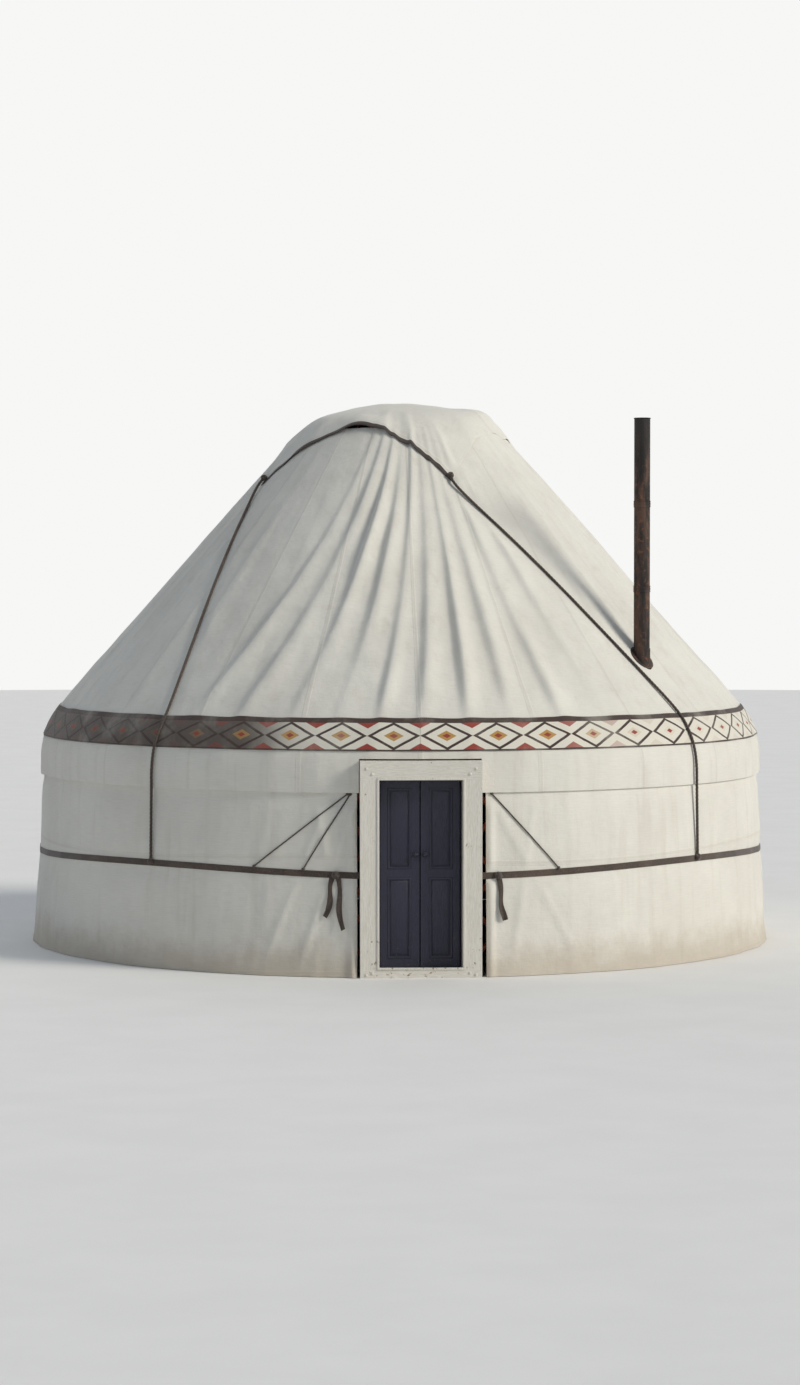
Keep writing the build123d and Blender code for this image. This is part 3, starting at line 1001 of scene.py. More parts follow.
@dataclass
class RopeLine:
    """One of the four ropes, from a corner of the crown cover down to the girth strap."""

    radius: float = 0.009
    front: tuple = (
        (0.342, -1.119, 3.757), (0.359, -1.173, 3.692), (0.518, -1.250, 3.526),
        (0.793, -1.373, 3.262), (1.176, -1.532, 2.871), (1.763, -1.763, 2.235),
        (2.047, -1.876, 1.925), (2.122, -1.945, 1.784), (2.163, -1.982, 1.643),
        (2.178, -1.996, 1.501), (2.178, -1.996, 1.360), (2.185, -2.002, 0.805))

    def points(self, number: int) -> Grid:
        """The route of one rope.

        Args:
            number: 0 for the front one, then on round to the right.

        Returns:
            Its points from the top down.
        """
        x, y, z = np.array(self.front).T
        c = round(math.cos(math.pi / 2 * number))
        s = round(math.sin(math.pi / 2 * number))
        return np.stack([x * c - y * s, x * s + y * c, z], axis=-1)

    def distance(self, x: Grid, y: Grid) -> Grid:
        """How far places are from the nearest rope, seen from above.

        Args:
            x: Places along X.
            y: Places along Y.

        Returns:
            The distances.
        """
        near = np.full(x.shape, 9.0)
        for number in range(len(SIDES)):
            route = self.points(number)[:, :2]
            for a, b in zip(route[:-1], route[1:]):
                way = b - a
                length = float(way @ way)
                if length < 1e-9:
                    continue
                t = np.clip(((x - a[0]) * way[0] + (y - a[1]) * way[1]) / length, 0.0, 1.0)
                near = np.minimum(near, np.hypot(x - a[0] - t * way[0], y - a[1] - t * way[1]))
        return near


@dataclass
class RoofShape:
    """The line of the roof cover and how the cloth swells over it.

    Each pleat has its foot and head in degrees from the door, its width and its depth.
    """

    hem_z: float = 1.36
    hem_radius: float = 2.9235
    hem_rise: float = 0.119
    knee_radius: float = 0.62
    pitch: float = math.radians(48.5)
    top_radius: float = 0.785
    lift: float = 0.002
    felt: float = 0.012
    lap_lift: float = 0.0135
    lap_from: tuple = (77.0, 83.0)
    lap_to: tuple = (96.0, 101.0)
    pipe: tuple = PIPE_PLACE
    broad_swell: float = 0.005
    fine_swell: float = 0.0015
    front_swell: float = 0.0020  # added to the fine one near the door
    pleats: tuple = (
        (-37.0, -16.0, 0.110, 0.028), (-28.5, -10.5, 0.125, 0.040), (-20.0, -5.5, 0.100, 0.050),
        (-12.5, -1.0, 0.110, 0.036), (-6.0, 3.0, 0.085, 0.046), (0.5, 7.0, 0.100, 0.034),
        (7.5, 10.5, 0.085, 0.042), (14.5, 14.0, 0.105, 0.030), (23.0, 17.5, 0.100, 0.036),
        (32.0, 22.0, 0.120, 0.022))
    small_pleats: tuple = (42.0, 320.0, 8.5)
    ropes: RopeLine = field(default_factory=RopeLine)

    @property
    def knee_end(self) -> float:
        """How far up the cover its straight slope starts."""
        return self.hem_rise + self.knee_radius * (math.pi / 2 - self.pitch)

    @property
    def length(self) -> float:
        """From the hem up to the crown ring."""
        return self.run_at(self.top_radius)

    def line(self, run: Grid) -> tuple:
        """The inner line of the cover.

        Args:
            run: Distances up the cover from the hem.

        Returns:
            Radius, height and the two parts of the outward normal.
        """
        turn = np.clip((run - self.hem_rise) / self.knee_radius, 0.0, math.pi / 2 - self.pitch)
        above = np.maximum(run - self.knee_end, 0.0)
        radius = (self.hem_radius - self.knee_radius * (1.0 - np.cos(turn))
                  - above * math.cos(self.pitch))
        height = (self.hem_z + np.minimum(run, self.hem_rise) + self.knee_radius * np.sin(turn)
                  + above * math.sin(self.pitch))
        return radius, height, np.cos(turn), np.sin(turn)

    def run_at(self, radius: float) -> float:
        """How far up the slope a radius is."""
        knee, _, _, _ = self.line(np.array(self.knee_end))
        return self.knee_end + (float(knee) - radius) / math.cos(self.pitch)

    def run_at_height(self, height: float) -> float:
        """How far up the knee a height is."""
        return self.hem_rise + self.knee_radius * math.asin(
            (height - self.hem_z - self.hem_rise) / self.knee_radius)

    def lap(self, turn: Grid) -> Grid:
        """The extra lift of the front sheet where it lies on the back one."""
        side = from_door(turn)
        return self.lap_lift * smooth(side, *self.lap_from) * (1.0 - smooth(side, *self.lap_to))

    def all_pleats(self) -> list:
        """The pleats, with small uneven ones added round the back.

        Returns:
            The foot, head, width and depth of each.
        """
        picks = np.random.default_rng(17)
        made = list(self.pleats)
        for foot in np.arange(*self.small_pleats):
            foot += picks.uniform(-2.5, 2.5)
            made.append((foot, foot + picks.uniform(-3.0, 3.0), picks.uniform(0.08, 0.14),
                         picks.uniform(0.006, 0.018)))
        return made

    def swell(self, turn: Grid, run: Grid) -> Grid:
        """How far the cloth stands off the frame.

        Args:
            turn: Angles round the house.
            run: Distances up the cover.

        Returns:
            The extra lift at each place.
        """
        radius, height, _, _ = self.line(run)
        x, y, z = np.moveaxis(round_place(turn, radius, height), -1, 0)
        degrees = np.degrees(signed(turn))
        up = np.clip((run - self.knee_end) / (self.length - self.knee_end), -0.3, 1.0)
        fine = self.fine_swell + self.front_swell * (1.0 - smooth(np.abs(degrees), 26.0, 52.0))
        total = self.broad_swell * (1.0 + waves(x, y, z, 0.9, 3))
        total += fine * (1.0 + waves(x, y, z * 0.7, 0.24, 5))
        envelope = smooth(up, -0.18, 0.16) * (1.0 - 0.75 * smooth(up, 0.55, 1.0))
        for foot, head, width, depth in self.all_pleats():
            off = np.radians(np.mod(degrees - foot - (head - foot) * up + 180.0, 360.0) - 180.0)
            off = off * radius / (width * (1.0 - 0.62 * up))
            off = np.where(off < 0.0, off * 2.1, off)
            uneven = 0.78 + 0.42 * np.sin(up * (5.0 + foot % 3.0) + foot * 1.7)
            total = total + depth * envelope * uneven * hill(off)
        total = total * (0.12 + 0.88 * smooth(self.ropes.distance(x, y), 0.015, 0.13))
        total = total * smooth(np.hypot(x - self.pipe[0], y - self.pipe[1]), 0.17, 0.42)
        return total * smooth(run, 0.0, 0.05) * (0.35 + 0.65 * smooth(run, 0.45, 0.85))

    def surface(self, turn: Grid, run: Grid, lift: Grid) -> Grid:
        """Points over the line of the cover, each raised by its lift."""
        radius, height, out, up = self.line(run)
        return round_place(turn, radius * chord_share(turn) + out * lift, height + up * lift)

    def outer_lift(self, turn: Grid, run: Grid) -> Grid:
        """The lift of the cover's outer face, for what lies on it."""
        return self.lift + self.felt + self.lap(turn) + self.swell(turn, run)


@dataclass
class RoofCover:
    """The two felts of the roof, the front one laid over the back one."""

    shape: RoofShape
    canvas: Material
    lining: Material
    spans: tuple = (("roof_felt_front", -96.0, 96.0), ("roof_felt_back", 84.0, 276.0))
    step: float = 0.4
    rows: int = 100
    door_half: float = 8.93
    door_z: float = 1.608
    hole: float = 0.0735
    hem: float = 0.0025
    hem_row: float = 0.012
    mean_radius: float = 2.94
    hair: float = 1e-6

    def build(self) -> list:
        """Makes both felts.

        Returns:
            The pieces.
        """
        made = []
        cut = self.shape.run_at_height(self.door_z)
        runs = np.linspace(0.0, self.shape.length, self.rows)
        runs = np.unique(np.append(runs, [cut, self.hem_row]))
        for name, low, high in self.spans:
            front = low < 0.0
            turns = np.arange(low, high + self.step / 2, self.step)
            if front:
                turns = np.unique(np.append(turns, [-self.door_half, self.door_half]))
            made.append(self.sheet(name, np.radians(turns), runs, cut, front))
        return made

    def sheet(self, name: str, turns: Grid, runs: Grid, cut: float, front: bool) -> Piece:
        """Makes one felt.

        Args:
            name: The piece's name.
            turns: The angles of its columns.
            runs: The distances of its rows.
            cut: How far up the door's notch goes.
            front: Whether it is the one over the door, which lies over the other.

        Returns:
            The piece.
        """
        run, turn = np.meshgrid(runs, turns, indexing="ij")
        gone = np.zeros((len(runs) - 1, len(turns) - 1), dtype=bool)
        if front:
            turn, run, inside = self.around_pipe(turn, run)
            gone |= inside[:-1, :-1] & inside[1:, :-1] & inside[:-1, 1:] & inside[1:, 1:]
            half = math.radians(self.door_half) + self.hair
            middle = (np.abs(turns[:-1]) < half) & (np.abs(turns[1:]) < half)
            gone |= (runs[:-1, None] < cut - self.hair) & middle[None, :]
        low = self.shape.lift + self.shape.swell(turn, run)
        if front:
            low = low + self.shape.lap(turn)
        hem = self.hem * (1.0 - smooth(run, 0.035, 0.045))
        return Cloth(self.shape.surface(turn, run, low + self.shape.felt + hem),
                     self.shape.surface(turn, run, low),
                     np.stack([turn * self.mean_radius, run], axis=-1), gone).piece(
                         name, self.canvas, self.lining)

    def around_pipe(self, turn: Grid, run: Grid) -> tuple:
        """Moves the points at the pipe's hole to its rim.

        Args:
            turn: The angles of the points.
            run: Their distances up the cover.

        Returns:
            The moved angles and distances, and which points were inside.
        """
        radius, _, _, _ = self.shape.line(run)
        x, y = radius * np.sin(turn), -radius * np.cos(turn)
        dx, dy = x - self.shape.pipe[0], y - self.shape.pipe[1]
        far = np.hypot(dx, dy)
        inside = far < self.hole
        grow = np.where(inside, self.hole / np.maximum(far, self.hair), 1.0)
        x, y = self.shape.pipe[0] + dx * grow, self.shape.pipe[1] + dy * grow
        up = (radius - np.hypot(x, y)) / math.cos(self.shape.pitch)
        return np.where(inside, np.arctan2(x, -y), turn), np.where(inside, run + up, run), inside


@dataclass
class WallShape:
    """The line of the wall cover and how it is cinched by the girth strap.

    Each slanting fold has its foot and top in degrees from the door, and its depth.
    """

    foot_radius: float = 3.0
    lean: float = 0.05645
    top: float = 1.437
    foot: float = 0.003
    felt: float = 0.012
    lap_lift: float = 0.0145
    lap_from: tuple = (112.0, 117.5)
    tuck: tuple = (1.28, 1.34)
    ties: float = math.radians(47.5)
    door_left: float = 0.470
    door_right: float = 0.486
    mean_radius: float = 2.95
    broad_swell: float = 0.006
    fine_swell: float = 0.0025
    folds: tuple = ((-17.5, -9.2, 0.012), (-9.6, -15.5, 0.010), (-23.0, -13.0, 0.008),
                    (24.0, 10.0, 0.008), (13.0, 17.0, 0.007))
    fold_foot: float = 0.05
    fold_rise: float = 1.3
    fold_width: float = 0.03
    seams: tuple = (0.43, 1.12)
    seam_rise: float = 0.0025
    seam_width: float = 0.012
    door_roll: float = 0.018  # where the cover is folded back beside the door
    foot_flare: float = 0.012

    def door_edge(self, side: Grid) -> Grid:
        """How far from the middle the cover ends at the door, on the side of a signed place."""
        return np.where(side > 0.0, self.door_right, self.door_left)

    def strap_z(self, turn: Grid) -> Grid:
        """The height of the girth strap, drawn up at the four ropes."""
        return 0.768 + 0.024 * np.cos(4.0 * (turn - self.ties))

    def line(self, z: Grid) -> Grid:
        """The radius of the cover's outer face at a height."""
        return self.foot_radius - self.lean * z

    def lap(self, turn: Grid) -> Grid:
        """The extra lift of a side sheet where it lies on the back one."""
        return self.lap_lift * smooth(from_door(turn), *self.lap_from)

    def tucked(self, z: Grid) -> Grid:
        """1 at the top of the cover, under the hem of the roof, and 0 further down."""
        return smooth(z, *self.tuck)

    def swell(self, turn: Grid, z: Grid) -> Grid:
        """How far the cloth stands off its line.

        Args:
            turn: Angles round the house.
            z: Heights.

        Returns:
            The extra radius at each place.
        """
        radius = self.line(z)
        x, y, _ = np.moveaxis(round_place(turn, radius, z), -1, 0)
        total = self.broad_swell * (1.0 + waves(x, y, z * 0.6, 0.8, 21))
        total += self.fine_swell * (1.0 + waves(x, y, z * 0.3, 0.16, 22))
        for foot, top, depth in self.folds:
            t = (z - self.fold_foot) / self.fold_rise
            off = (signed(turn) - np.radians(foot + (top - foot) * t)) * radius / self.fold_width
            total += depth * hill(off) * smooth(z, self.fold_foot, 0.3)
        for seam in self.seams:
            total += self.seam_rise * hill(z, seam + 0.02 * np.sin(3.0 * turn), self.seam_width)
        gap = np.abs(z - self.strap_z(turn))
        total *= 0.10 + 0.90 * smooth(gap, 0.02, 0.16)
        tie = np.abs(np.mod(turn - self.ties + math.pi / 4, math.pi / 2) - math.pi / 4) * radius
        total *= 0.15 + 0.85 * np.where(z > 0.74, smooth(tie, 0.02, 0.12), 1.0)
        beside = np.where(y < 0.0, np.abs(x) - self.door_edge(x), 1.0)
        roll = self.door_roll * smooth(beside, -0.001, 0.014) * (1.0 - smooth(beside, 0.035, 0.075))
        total += roll * smooth(gap, 0.015, 0.06)
        total *= 1.0 - smooth(z, 1.22, 1.335)
        uneven = 0.6 + 0.4 * np.sin(23.0 * turn + 2.0 * np.sin(5.0 * turn))
        return total + self.foot_flare * (1.0 - smooth(z, 0.0, 0.16)) * uneven

    def surface(self, turn: Grid, z: Grid, lift: Grid) -> Grid:
        """Points over the outer face of the cover, each moved out by its lift."""
        return round_place(turn, self.line(z) * chord_share(turn) + lift, z)


@dataclass
class WallCover:
    """Three felts round the wall; the side ones lie over the back one."""

    shape: WallShape
    canvas: Material
    lining: Material
    step: float = 0.4
    rows: int = 46
    side_end: float = 128.0
    back_start: float = 118.0
    hem: float = 0.0015
    thin_share: float = 0.55  # of a side felt, where it is squeezed at the top
    pressed_felt: float = 0.0051  # what is left of the back felt under a side one
    post_z: float = 0.7  # where the columns at the door keep their angle

    def build(self) -> list:
        """Makes the three felts.

        Returns:
            The pieces.
        """
        made = []
        heights = np.linspace(self.shape.foot, self.shape.top, self.rows)
        left, right = np.degrees(self.post(np.array((-1.0, 1.0)), np.array(self.post_z)))
        for name, low, high in (("wall_felt_right", right, self.side_end),
                                ("wall_felt_back", self.back_start, 360.0 - self.back_start),
                                ("wall_felt_left", 360.0 - self.side_end, 360.0 - left)):
            turns = np.radians(np.linspace(low, high, round((high - low) / self.step) + 1))
            z, turn = np.meshgrid(heights, turns, indexing="ij")
            made.append(self.sheet(name, turn, z, name == "wall_felt_back"))
        return made

    def sheet(self, name: str, turn: Grid, z: Grid, back: bool) -> Piece:
        """Makes one felt.

        Args:
            name: The piece's name.
            turn: The angles of its points.
            z: Their heights.
            back: Whether it is the one that lies under the others.

        Returns:
            The piece.
        """
        shape = self.shape
        top = shape.tucked(z)
        if back:
            lift = shape.swell(turn, z)
            thick = shape.felt
            sunk = (thick - self.pressed_felt) * (
                top * (1.0 - smooth(from_door(turn), 128.5, 131.0)))
        else:
            turn = self.straightened(turn, z)
            lift = shape.swell(turn, z) + shape.lap(turn) * (1.0 - top)
            thick = shape.felt * (1.0 - self.thin_share * (
                top * smooth(from_door(turn), 116.0, 117.5)))
            sunk = 0.0
        hem = self.hem * (1.0 - smooth(z, 0.03, 0.04))
        return Cloth(shape.surface(turn, z, lift + hem - sunk),
                     shape.surface(turn, z, lift - thick),
                     np.stack([turn * shape.mean_radius, z], axis=-1)).piece(
                         name, self.canvas, self.lining)

    def post(self, side: Grid, z: Grid) -> Grid:
        """The angles at which the cover ends at the door."""
        return np.arcsin(self.shape.door_edge(side) / self.shape.line(z))

    def straightened(self, turn: Grid, z: Grid) -> Grid:
        """Moves the columns by the door so that they stay upright along the post.

        Args:
            turn: The angles of the points.
            z: Their heights.

        Returns:
            The moved angles.
        """
        side = signed(turn)
        more = self.post(side, z) - self.post(side, np.array(self.post_z))
        fade = 1.0 - smooth(np.degrees(np.abs(side)), 8.0, 20.0)
        return turn + np.sign(side) * more * fade


@dataclass
class CrownCover:
    """The square canvas over the crown, ruffled, with painted shade in a dark band along two
    opposite edges.
    """

    shape: RoofShape
    canvas: Material
    corner: float = CROWN_CORNER
    turn: float = math.radians(17.0)
    ridge: float = 4.3675
    shoulder: float = 0.72
    fall: float = 0.1406
    knee: float = 2.7679
    cloth: float = 0.006
    air: float = 0.0012
    count: int = 120
    pull: float = 0.022  # how far the sides are drawn in between the corners
    round_off: float = 0.03
    ruffle: float = 0.030
    slack: float = 0.060  # bag of loose cloth at the right
    gape: float = 0.058  # edge that stands up at the front left
    ripple: float = 0.003

    def build(self) -> Piece:
        """Makes the sheet.

        Returns:
            The piece.
        """
        half = self.corner / math.sqrt(2.0)
        line = np.linspace(-1.0, 1.0, self.count + 1)
        v, u = np.meshgrid(line, line, indexing="ij")
        a = half * u * (1.0 - self.pull * (1.0 - v * v) * u * u)
        b = half * v * (1.0 - self.pull * (1.0 - u * u) * v * v)
        spin = self.turn + math.pi / 4
        x = a * math.cos(spin) + b * math.sin(spin)
        y = a * math.sin(spin) - b * math.cos(spin)
        low = self.height(x, y, u, v)
        grids = (np.stack([x, y, low + self.cloth], axis=-1), np.stack([x, y, low], axis=-1),
                 np.stack([u * half * CROWN_EASE, v * half * CROWN_EASE], axis=-1))
        return Cloth(*(grid[:, ::-1] for grid in grids)).piece("crown_canvas", self.canvas)

    def height(self, x: Grid, y: Grid, u: Grid, v: Grid) -> Grid:
        """The height of the sheet's inner face.

        Args:
            x: Places along X.
            y: Places along Y.
            u: The same places across the sheet.
            v: The same places along the sheet.

        Returns:
            The heights.
        """
        radius = np.hypot(x, y)
        turn = np.arctan2(x, -y)
        degrees = np.degrees(turn)
        dome = self.ridge - self.fall * (radius / self.shoulder) ** 2
        slope = self.ridge - self.fall - (radius - self.shoulder) * math.tan(self.shape.pitch)
        level = 4.0
        both = sum(np.exp(-(line - level) / self.round_off) for line in (dome, slope))
        run = self.shape.knee_end + (self.knee - radius) / math.cos(self.shape.pitch)
        run = np.minimum(run, self.shape.length)
        felt = (self.shape.swell(turn, run) + self.shape.lap(turn)) / math.cos(self.shape.pitch)
        base = felt * smooth(radius, 0.70, 0.95) - self.round_off * np.log(both) + level
        edge = np.maximum(np.abs(u), np.abs(v))
        folds = 0.5 + 0.5 * np.sin(turn * 19.0 + 1.7 * np.sin(turn * 4.0) + 0.8)
        calm = 1.0 - 0.72 * hill(np.minimum(np.abs(u), np.abs(v)), 0.0, 0.42)
        ruffle = self.ruffle * smooth(edge, 0.45, 1.0) * folds ** 2 * calm * (
            0.45 + 0.55 * smooth(np.abs(u) * np.abs(v), 0.9, 0.1))
        slack = self.slack * hill(degrees, 82.0, 36.0) * smooth(radius, 0.35, 0.72) * (
            1.0 - smooth(edge, 0.80, 0.99))
        gape = self.gape * hill(degrees, -24.0, 15.0) * smooth(edge, 0.74, 1.0)
        ripple = self.ripple * (1.0 + waves(x, y, base, 0.35, 31))
        return base + self.air + ruffle + slack + gape + ripple


@dataclass
class EaveBand:
    """The patterned band over the knee of the roof, in two halves."""

    shape: RoofShape
    finishes: dict
    low: float = 1.662
    high: float = 1.888
    cloth: float = 0.0045
    loose: float = 0.003
    gap: float = 0.02  # degrees from the middle to where a half ends

    def build(self) -> list:
        """Makes both halves.

        Returns:
            The pieces.
        """
        made = []
        runs = np.linspace(*(self.shape.run_at_height(z) for z in (self.low, self.high)), 13)
        for hand, start in ((Hand.RIGHT, 0.0), (Hand.LEFT, 180.0)):
            turns = np.radians(np.linspace(start + self.gap, start + 180.0 - self.gap, 361))
            run, turn = np.meshgrid(runs, turns, indexing="ij")
            edge = np.abs(run - runs.mean()) / (runs[-1] - runs[0]) * 2.0
            loose = self.loose * smooth(edge, 0.5, 1.0) * (1.0 + np.sin(31.0 * turn + 4.0 * run))
            lift = self.shape.outer_lift(turn, run) + AIR + loose
            made.append(Cloth(self.shape.surface(turn, run, lift + self.cloth),
                              self.shape.surface(turn, run, lift),
                              np.stack([turn * BAND_RADIUS, run - runs[0]], axis=-1)).piece(
                                  f"woven_band_{hand.name.lower()}", self.finishes[hand]))
        return made


@dataclass
class GirthStrap:
    """The dark strap round the wall."""

    shape: WallShape
    wool: Material
    width: float = 0.048
    cloth: float = 0.005
    braid: float = 0.0015
    plait: float = 0.02
    door_half: float = 0.4515

    def build(self) -> Piece:
        """Makes the strap.

        Returns:
            The piece.
        """
        radius = self.shape.mean_radius
        door = math.asin(self.door_half / radius)
        turns = np.linspace(door, math.tau - door, 900)
        part, turn = np.meshgrid(np.linspace(-0.5, 0.5, 7), turns, indexing="ij")
        z = self.shape.strap_z(turn) + part * self.width
        lap = self.shape.lap(turn) * (1.0 - smooth(from_door(turn), 128.0, 131.0))
        lift = self.shape.swell(turn, z) + lap + AIR
        braid = self.braid * np.abs(np.sin(turn * radius / self.plait * math.pi + part * 9.0))
        proud = lift + self.cloth - self.braid + braid * (1.0 - (2.0 * part) ** 4)
        return Cloth(self.shape.surface(turn, z, proud), self.shape.surface(turn, z, lift),
                     np.stack([turn * radius, z], axis=-1)).piece("wool_girth", self.wool)


@dataclass
class TwistedRope:
    """A three-stranded rope that is swept along a path."""

    wool: Material
    radius: float = 0.009
    pitch: float = 0.075
    spacing: float = 0.0125
    lobes: int = 12
    groove: float = 0.24  # depth between the strands, as a share of the radius

    def along(self, route: Grid) -> Grid:
        """Close, evenly spaced points on a route with its corners cut.

        Args:
            route: The corner points, from the top down.

        Returns:
            The points of the smooth path.
        """
        for _ in range(2):
            quarter = route[:-1] * 0.75 + route[1:] * 0.25
            three = route[:-1] * 0.25 + route[1:] * 0.75
            middle = np.stack([quarter, three], axis=1).reshape(-1, 3)
            route = np.vstack([route[:1], middle, route[-1:]])
        far = far_along(route)
        at = np.linspace(0.0, far[-1], max(int(far[-1] / self.spacing), 4))
        return np.stack([np.interp(at, far, route[:, i]) for i in range(3)], axis=-1)

    def sweep(self, name: str, route: Grid) -> Piece:
        """Makes the rope.

        Args:
            name: The piece's name.
            route: The corner points of its route.

        Returns:
            The piece.
        """
        path = self.along(route)
        way = np.gradient(path, axis=0)
        way /= np.linalg.norm(way, axis=1)[:, None]
        side = np.cross(way, path * (1.0, 1.0, 0.0))
        side /= np.linalg.norm(side, axis=1)[:, None]
        out = np.cross(side, way)
        spin = np.arange(self.lobes) * math.tau / self.lobes
        radius = self.radius * (1.0 - self.groove + self.groove * np.abs(np.cos(1.5 * spin)))
        angle = spin[None, :] + (far_along(path) / self.pitch * math.tau)[:, None]
        rings = path[:, None, :] + radius[None, :, None] * (
            np.cos(angle)[..., None] * out[:, None, :]
            + np.sin(angle)[..., None] * side[:, None, :])
        index = np.arange(len(path) * self.lobes).reshape(len(path), self.lobes)
        after = np.roll(index, -1, axis=1)
        faces = np.stack([index[:-1], after[:-1], after[1:], index[1:]], axis=-1).reshape(-1, 4)
        faces = faces.tolist() + [index[0, ::-1].tolist(), index[-1].tolist()]
        piece = as_object(name, rings.reshape(-1, 3), faces)
        Bench.open(piece)
        Bench.done()
        return finished(piece, self.wool, 60.0)

    def knots(self, name: str, places: Sequence[Sequence[float]]) -> Piece:
        """Overhand knots at some places, as one piece.

        Args:
            name: The piece's name.
            places: Where they sit on the house.

        Returns:
            The piece.
        """
        turns = []
        for tilt, spin in ((70.0, 10.0), (115.0, 75.0), (20.0, 40.0)):
            ring = Bench.ring("turn", self.radius * 1.35, self.radius * 0.85)
            ring.data.transform(turned(spin, "Z") @ turned(tilt, "X"))
            turns.append(ring)
        spots = [moved(x, y, z) @ Matrix.Rotation(math.atan2(x, -y), 4, "Z") for x, y, z in places]
        return finished(join(name, copies(join("knot", turns), spots)), self.wool, 60.0)


@dataclass
class CrownRopes:
    """Four ropes that hold the crown cover down, tied to the girth strap."""

    line: RopeLine
    rope: TwistedRope

    def build(self) -> list:
        """Makes the ropes and their knots.

        Returns:
            The pieces.
        """
        made, ends = [], []
        extra = self.rope.radius - self.line.radius
        for number, side in enumerate(SIDES):
            route = self.line.points(number)
            out = route[:, :2] / np.linalg.norm(route[:, :2], axis=1)[:, None]
            route = route + np.column_stack([out * extra, np.full(len(route), extra / 3)])
            made.append(self.rope.sweep(f"rope_{side}", route))
            ends += [route[0], (route[-1] + (0.0, 0.0, -0.004)) * (1.001, 1.001, 1.0)]
        made.append(self.rope.knots("rope_knots", ends))
        return made


@dataclass
class WallTies:
    """Thin ropes beside the door that run slanting from the roof's hem to the girth strap."""

    shape: WallShape
    rope: TwistedRope
    spans: tuple = (
        ("tie_left_long", -10.6, -24.5), ("tie_left_short", -10.2, -17.0),
        ("tie_right", 10.4, 20.5))
    top: float = 1.352
    above_strap: float = 0.03

    def build(self) -> list:
        """Makes the ties and their knots.

        Returns:
            The pieces.
        """
        made, ends = [], []
        for name, high, low in self.spans:
            part = np.linspace(0.0, 1.0, 40)
            turn = np.radians(high + (low - high) * part)
            foot = float(self.shape.strap_z(turn[-1:])[0]) + self.above_strap
            z = self.top + (foot - self.top) * part
            lift = self.shape.swell(turn, z) + self.rope.radius * 1.15
            lift = np.maximum(lift, np.convolve(np.pad(lift, 4, "edge"), np.ones(9) / 9, "valid"))
            route = self.shape.surface(turn, z, lift)
            made.append(self.rope.sweep(name, route))
            ends += [route[0], route[-1]]
        made.append(self.rope.knots("tie_knots", ends))
        return made


@dataclass
class StrapTails:
    """The loose ends of the girth strap, hanging beside the door.

    Each has its name, its place in degrees, its length and how it drifts as it falls.
    """

    shape: WallShape
    wool: Material
    width: float = 0.042
    cloth: float = 0.004
    mean_radius: float = 2.97
    spans: tuple = (
        ("strap_tail_left", -11.9, 0.40, 0.9), ("strap_tail_left_short", -12.6, 0.31, -1.0),
        ("strap_tail_right", 11.2, 0.33, 0.8))
    knot_places: tuple = (-12.2, 11.2)
    knot_radius: float = 0.014
    knot_lift: float = 0.018

    def knots(self) -> Piece:
        """Makes the knots that the tails hang from.

        Returns:
            The piece.
        """
        places = []
        for degrees in self.knot_places:
            turn = np.radians([degrees])
            z = self.shape.strap_z(turn)
            lift = self.shape.swell(turn, z) + self.knot_lift
            places.append(self.shape.surface(turn, z, lift)[0])
        return TwistedRope(self.wool, radius=self.knot_radius).knots("strap_knots", places)

    def build(self) -> list:
        """Makes the tails.

        Returns:
            Pairs of a piece and its length.
        """
        made = []
        far, side = np.meshgrid(np.linspace(0.0, 1.0, 40), np.linspace(-0.5, 0.5, 7), indexing="ij")
        for name, start, length, drift in self.spans:
            top = float(self.shape.strap_z(np.radians([start]))[0])
            sway = drift * (far ** 1.5 + 0.22 * np.sin(far * 6.5))
            turn = np.radians(start + sway) + side * self.width / self.mean_radius * (
                0.86 + 0.14 * np.cos(far * 9.0 + start))
            z = top - length * far * (1.0 - 0.05 * side * drift)
            lift = self.shape.swell(turn, z) + 0.0075 + 0.014 * np.sin(far * 7.0 + start) ** 2 * far
            lift = lift + 0.006 * far * (1.0 + np.sin(side * 5.0 + far * 6.0))
            grids = (self.shape.surface(turn, z, lift + self.cloth),
                     self.shape.surface(turn, z, lift),
                     np.stack([side * self.width, far * length], axis=-1))
            made.append((Cloth(*(grid[::-1] for grid in grids)).piece(name, self.wool), length))
        return made


# ---------------------------------------------------------------- the wooden and metal pieces


@dataclass
class Dresser:
    """Gives the pieces of the frame their finishes."""

    finishes: dict

    def dress(self) -> int:
        """Sets the finish of every piece of the frame that stays.

        Returns:
            How many were dressed.
        """
        count = 0
        for name, material in self.finishes.items():
            for piece in bpy.data.objects:
                if piece.get("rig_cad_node") == name or piece.name == name:
                    for slot in piece.material_slots:
                        slot.material = material
                    if not piece.material_slots:
                        piece.data.materials.append(material)
                    count += 1
                    break
        return count


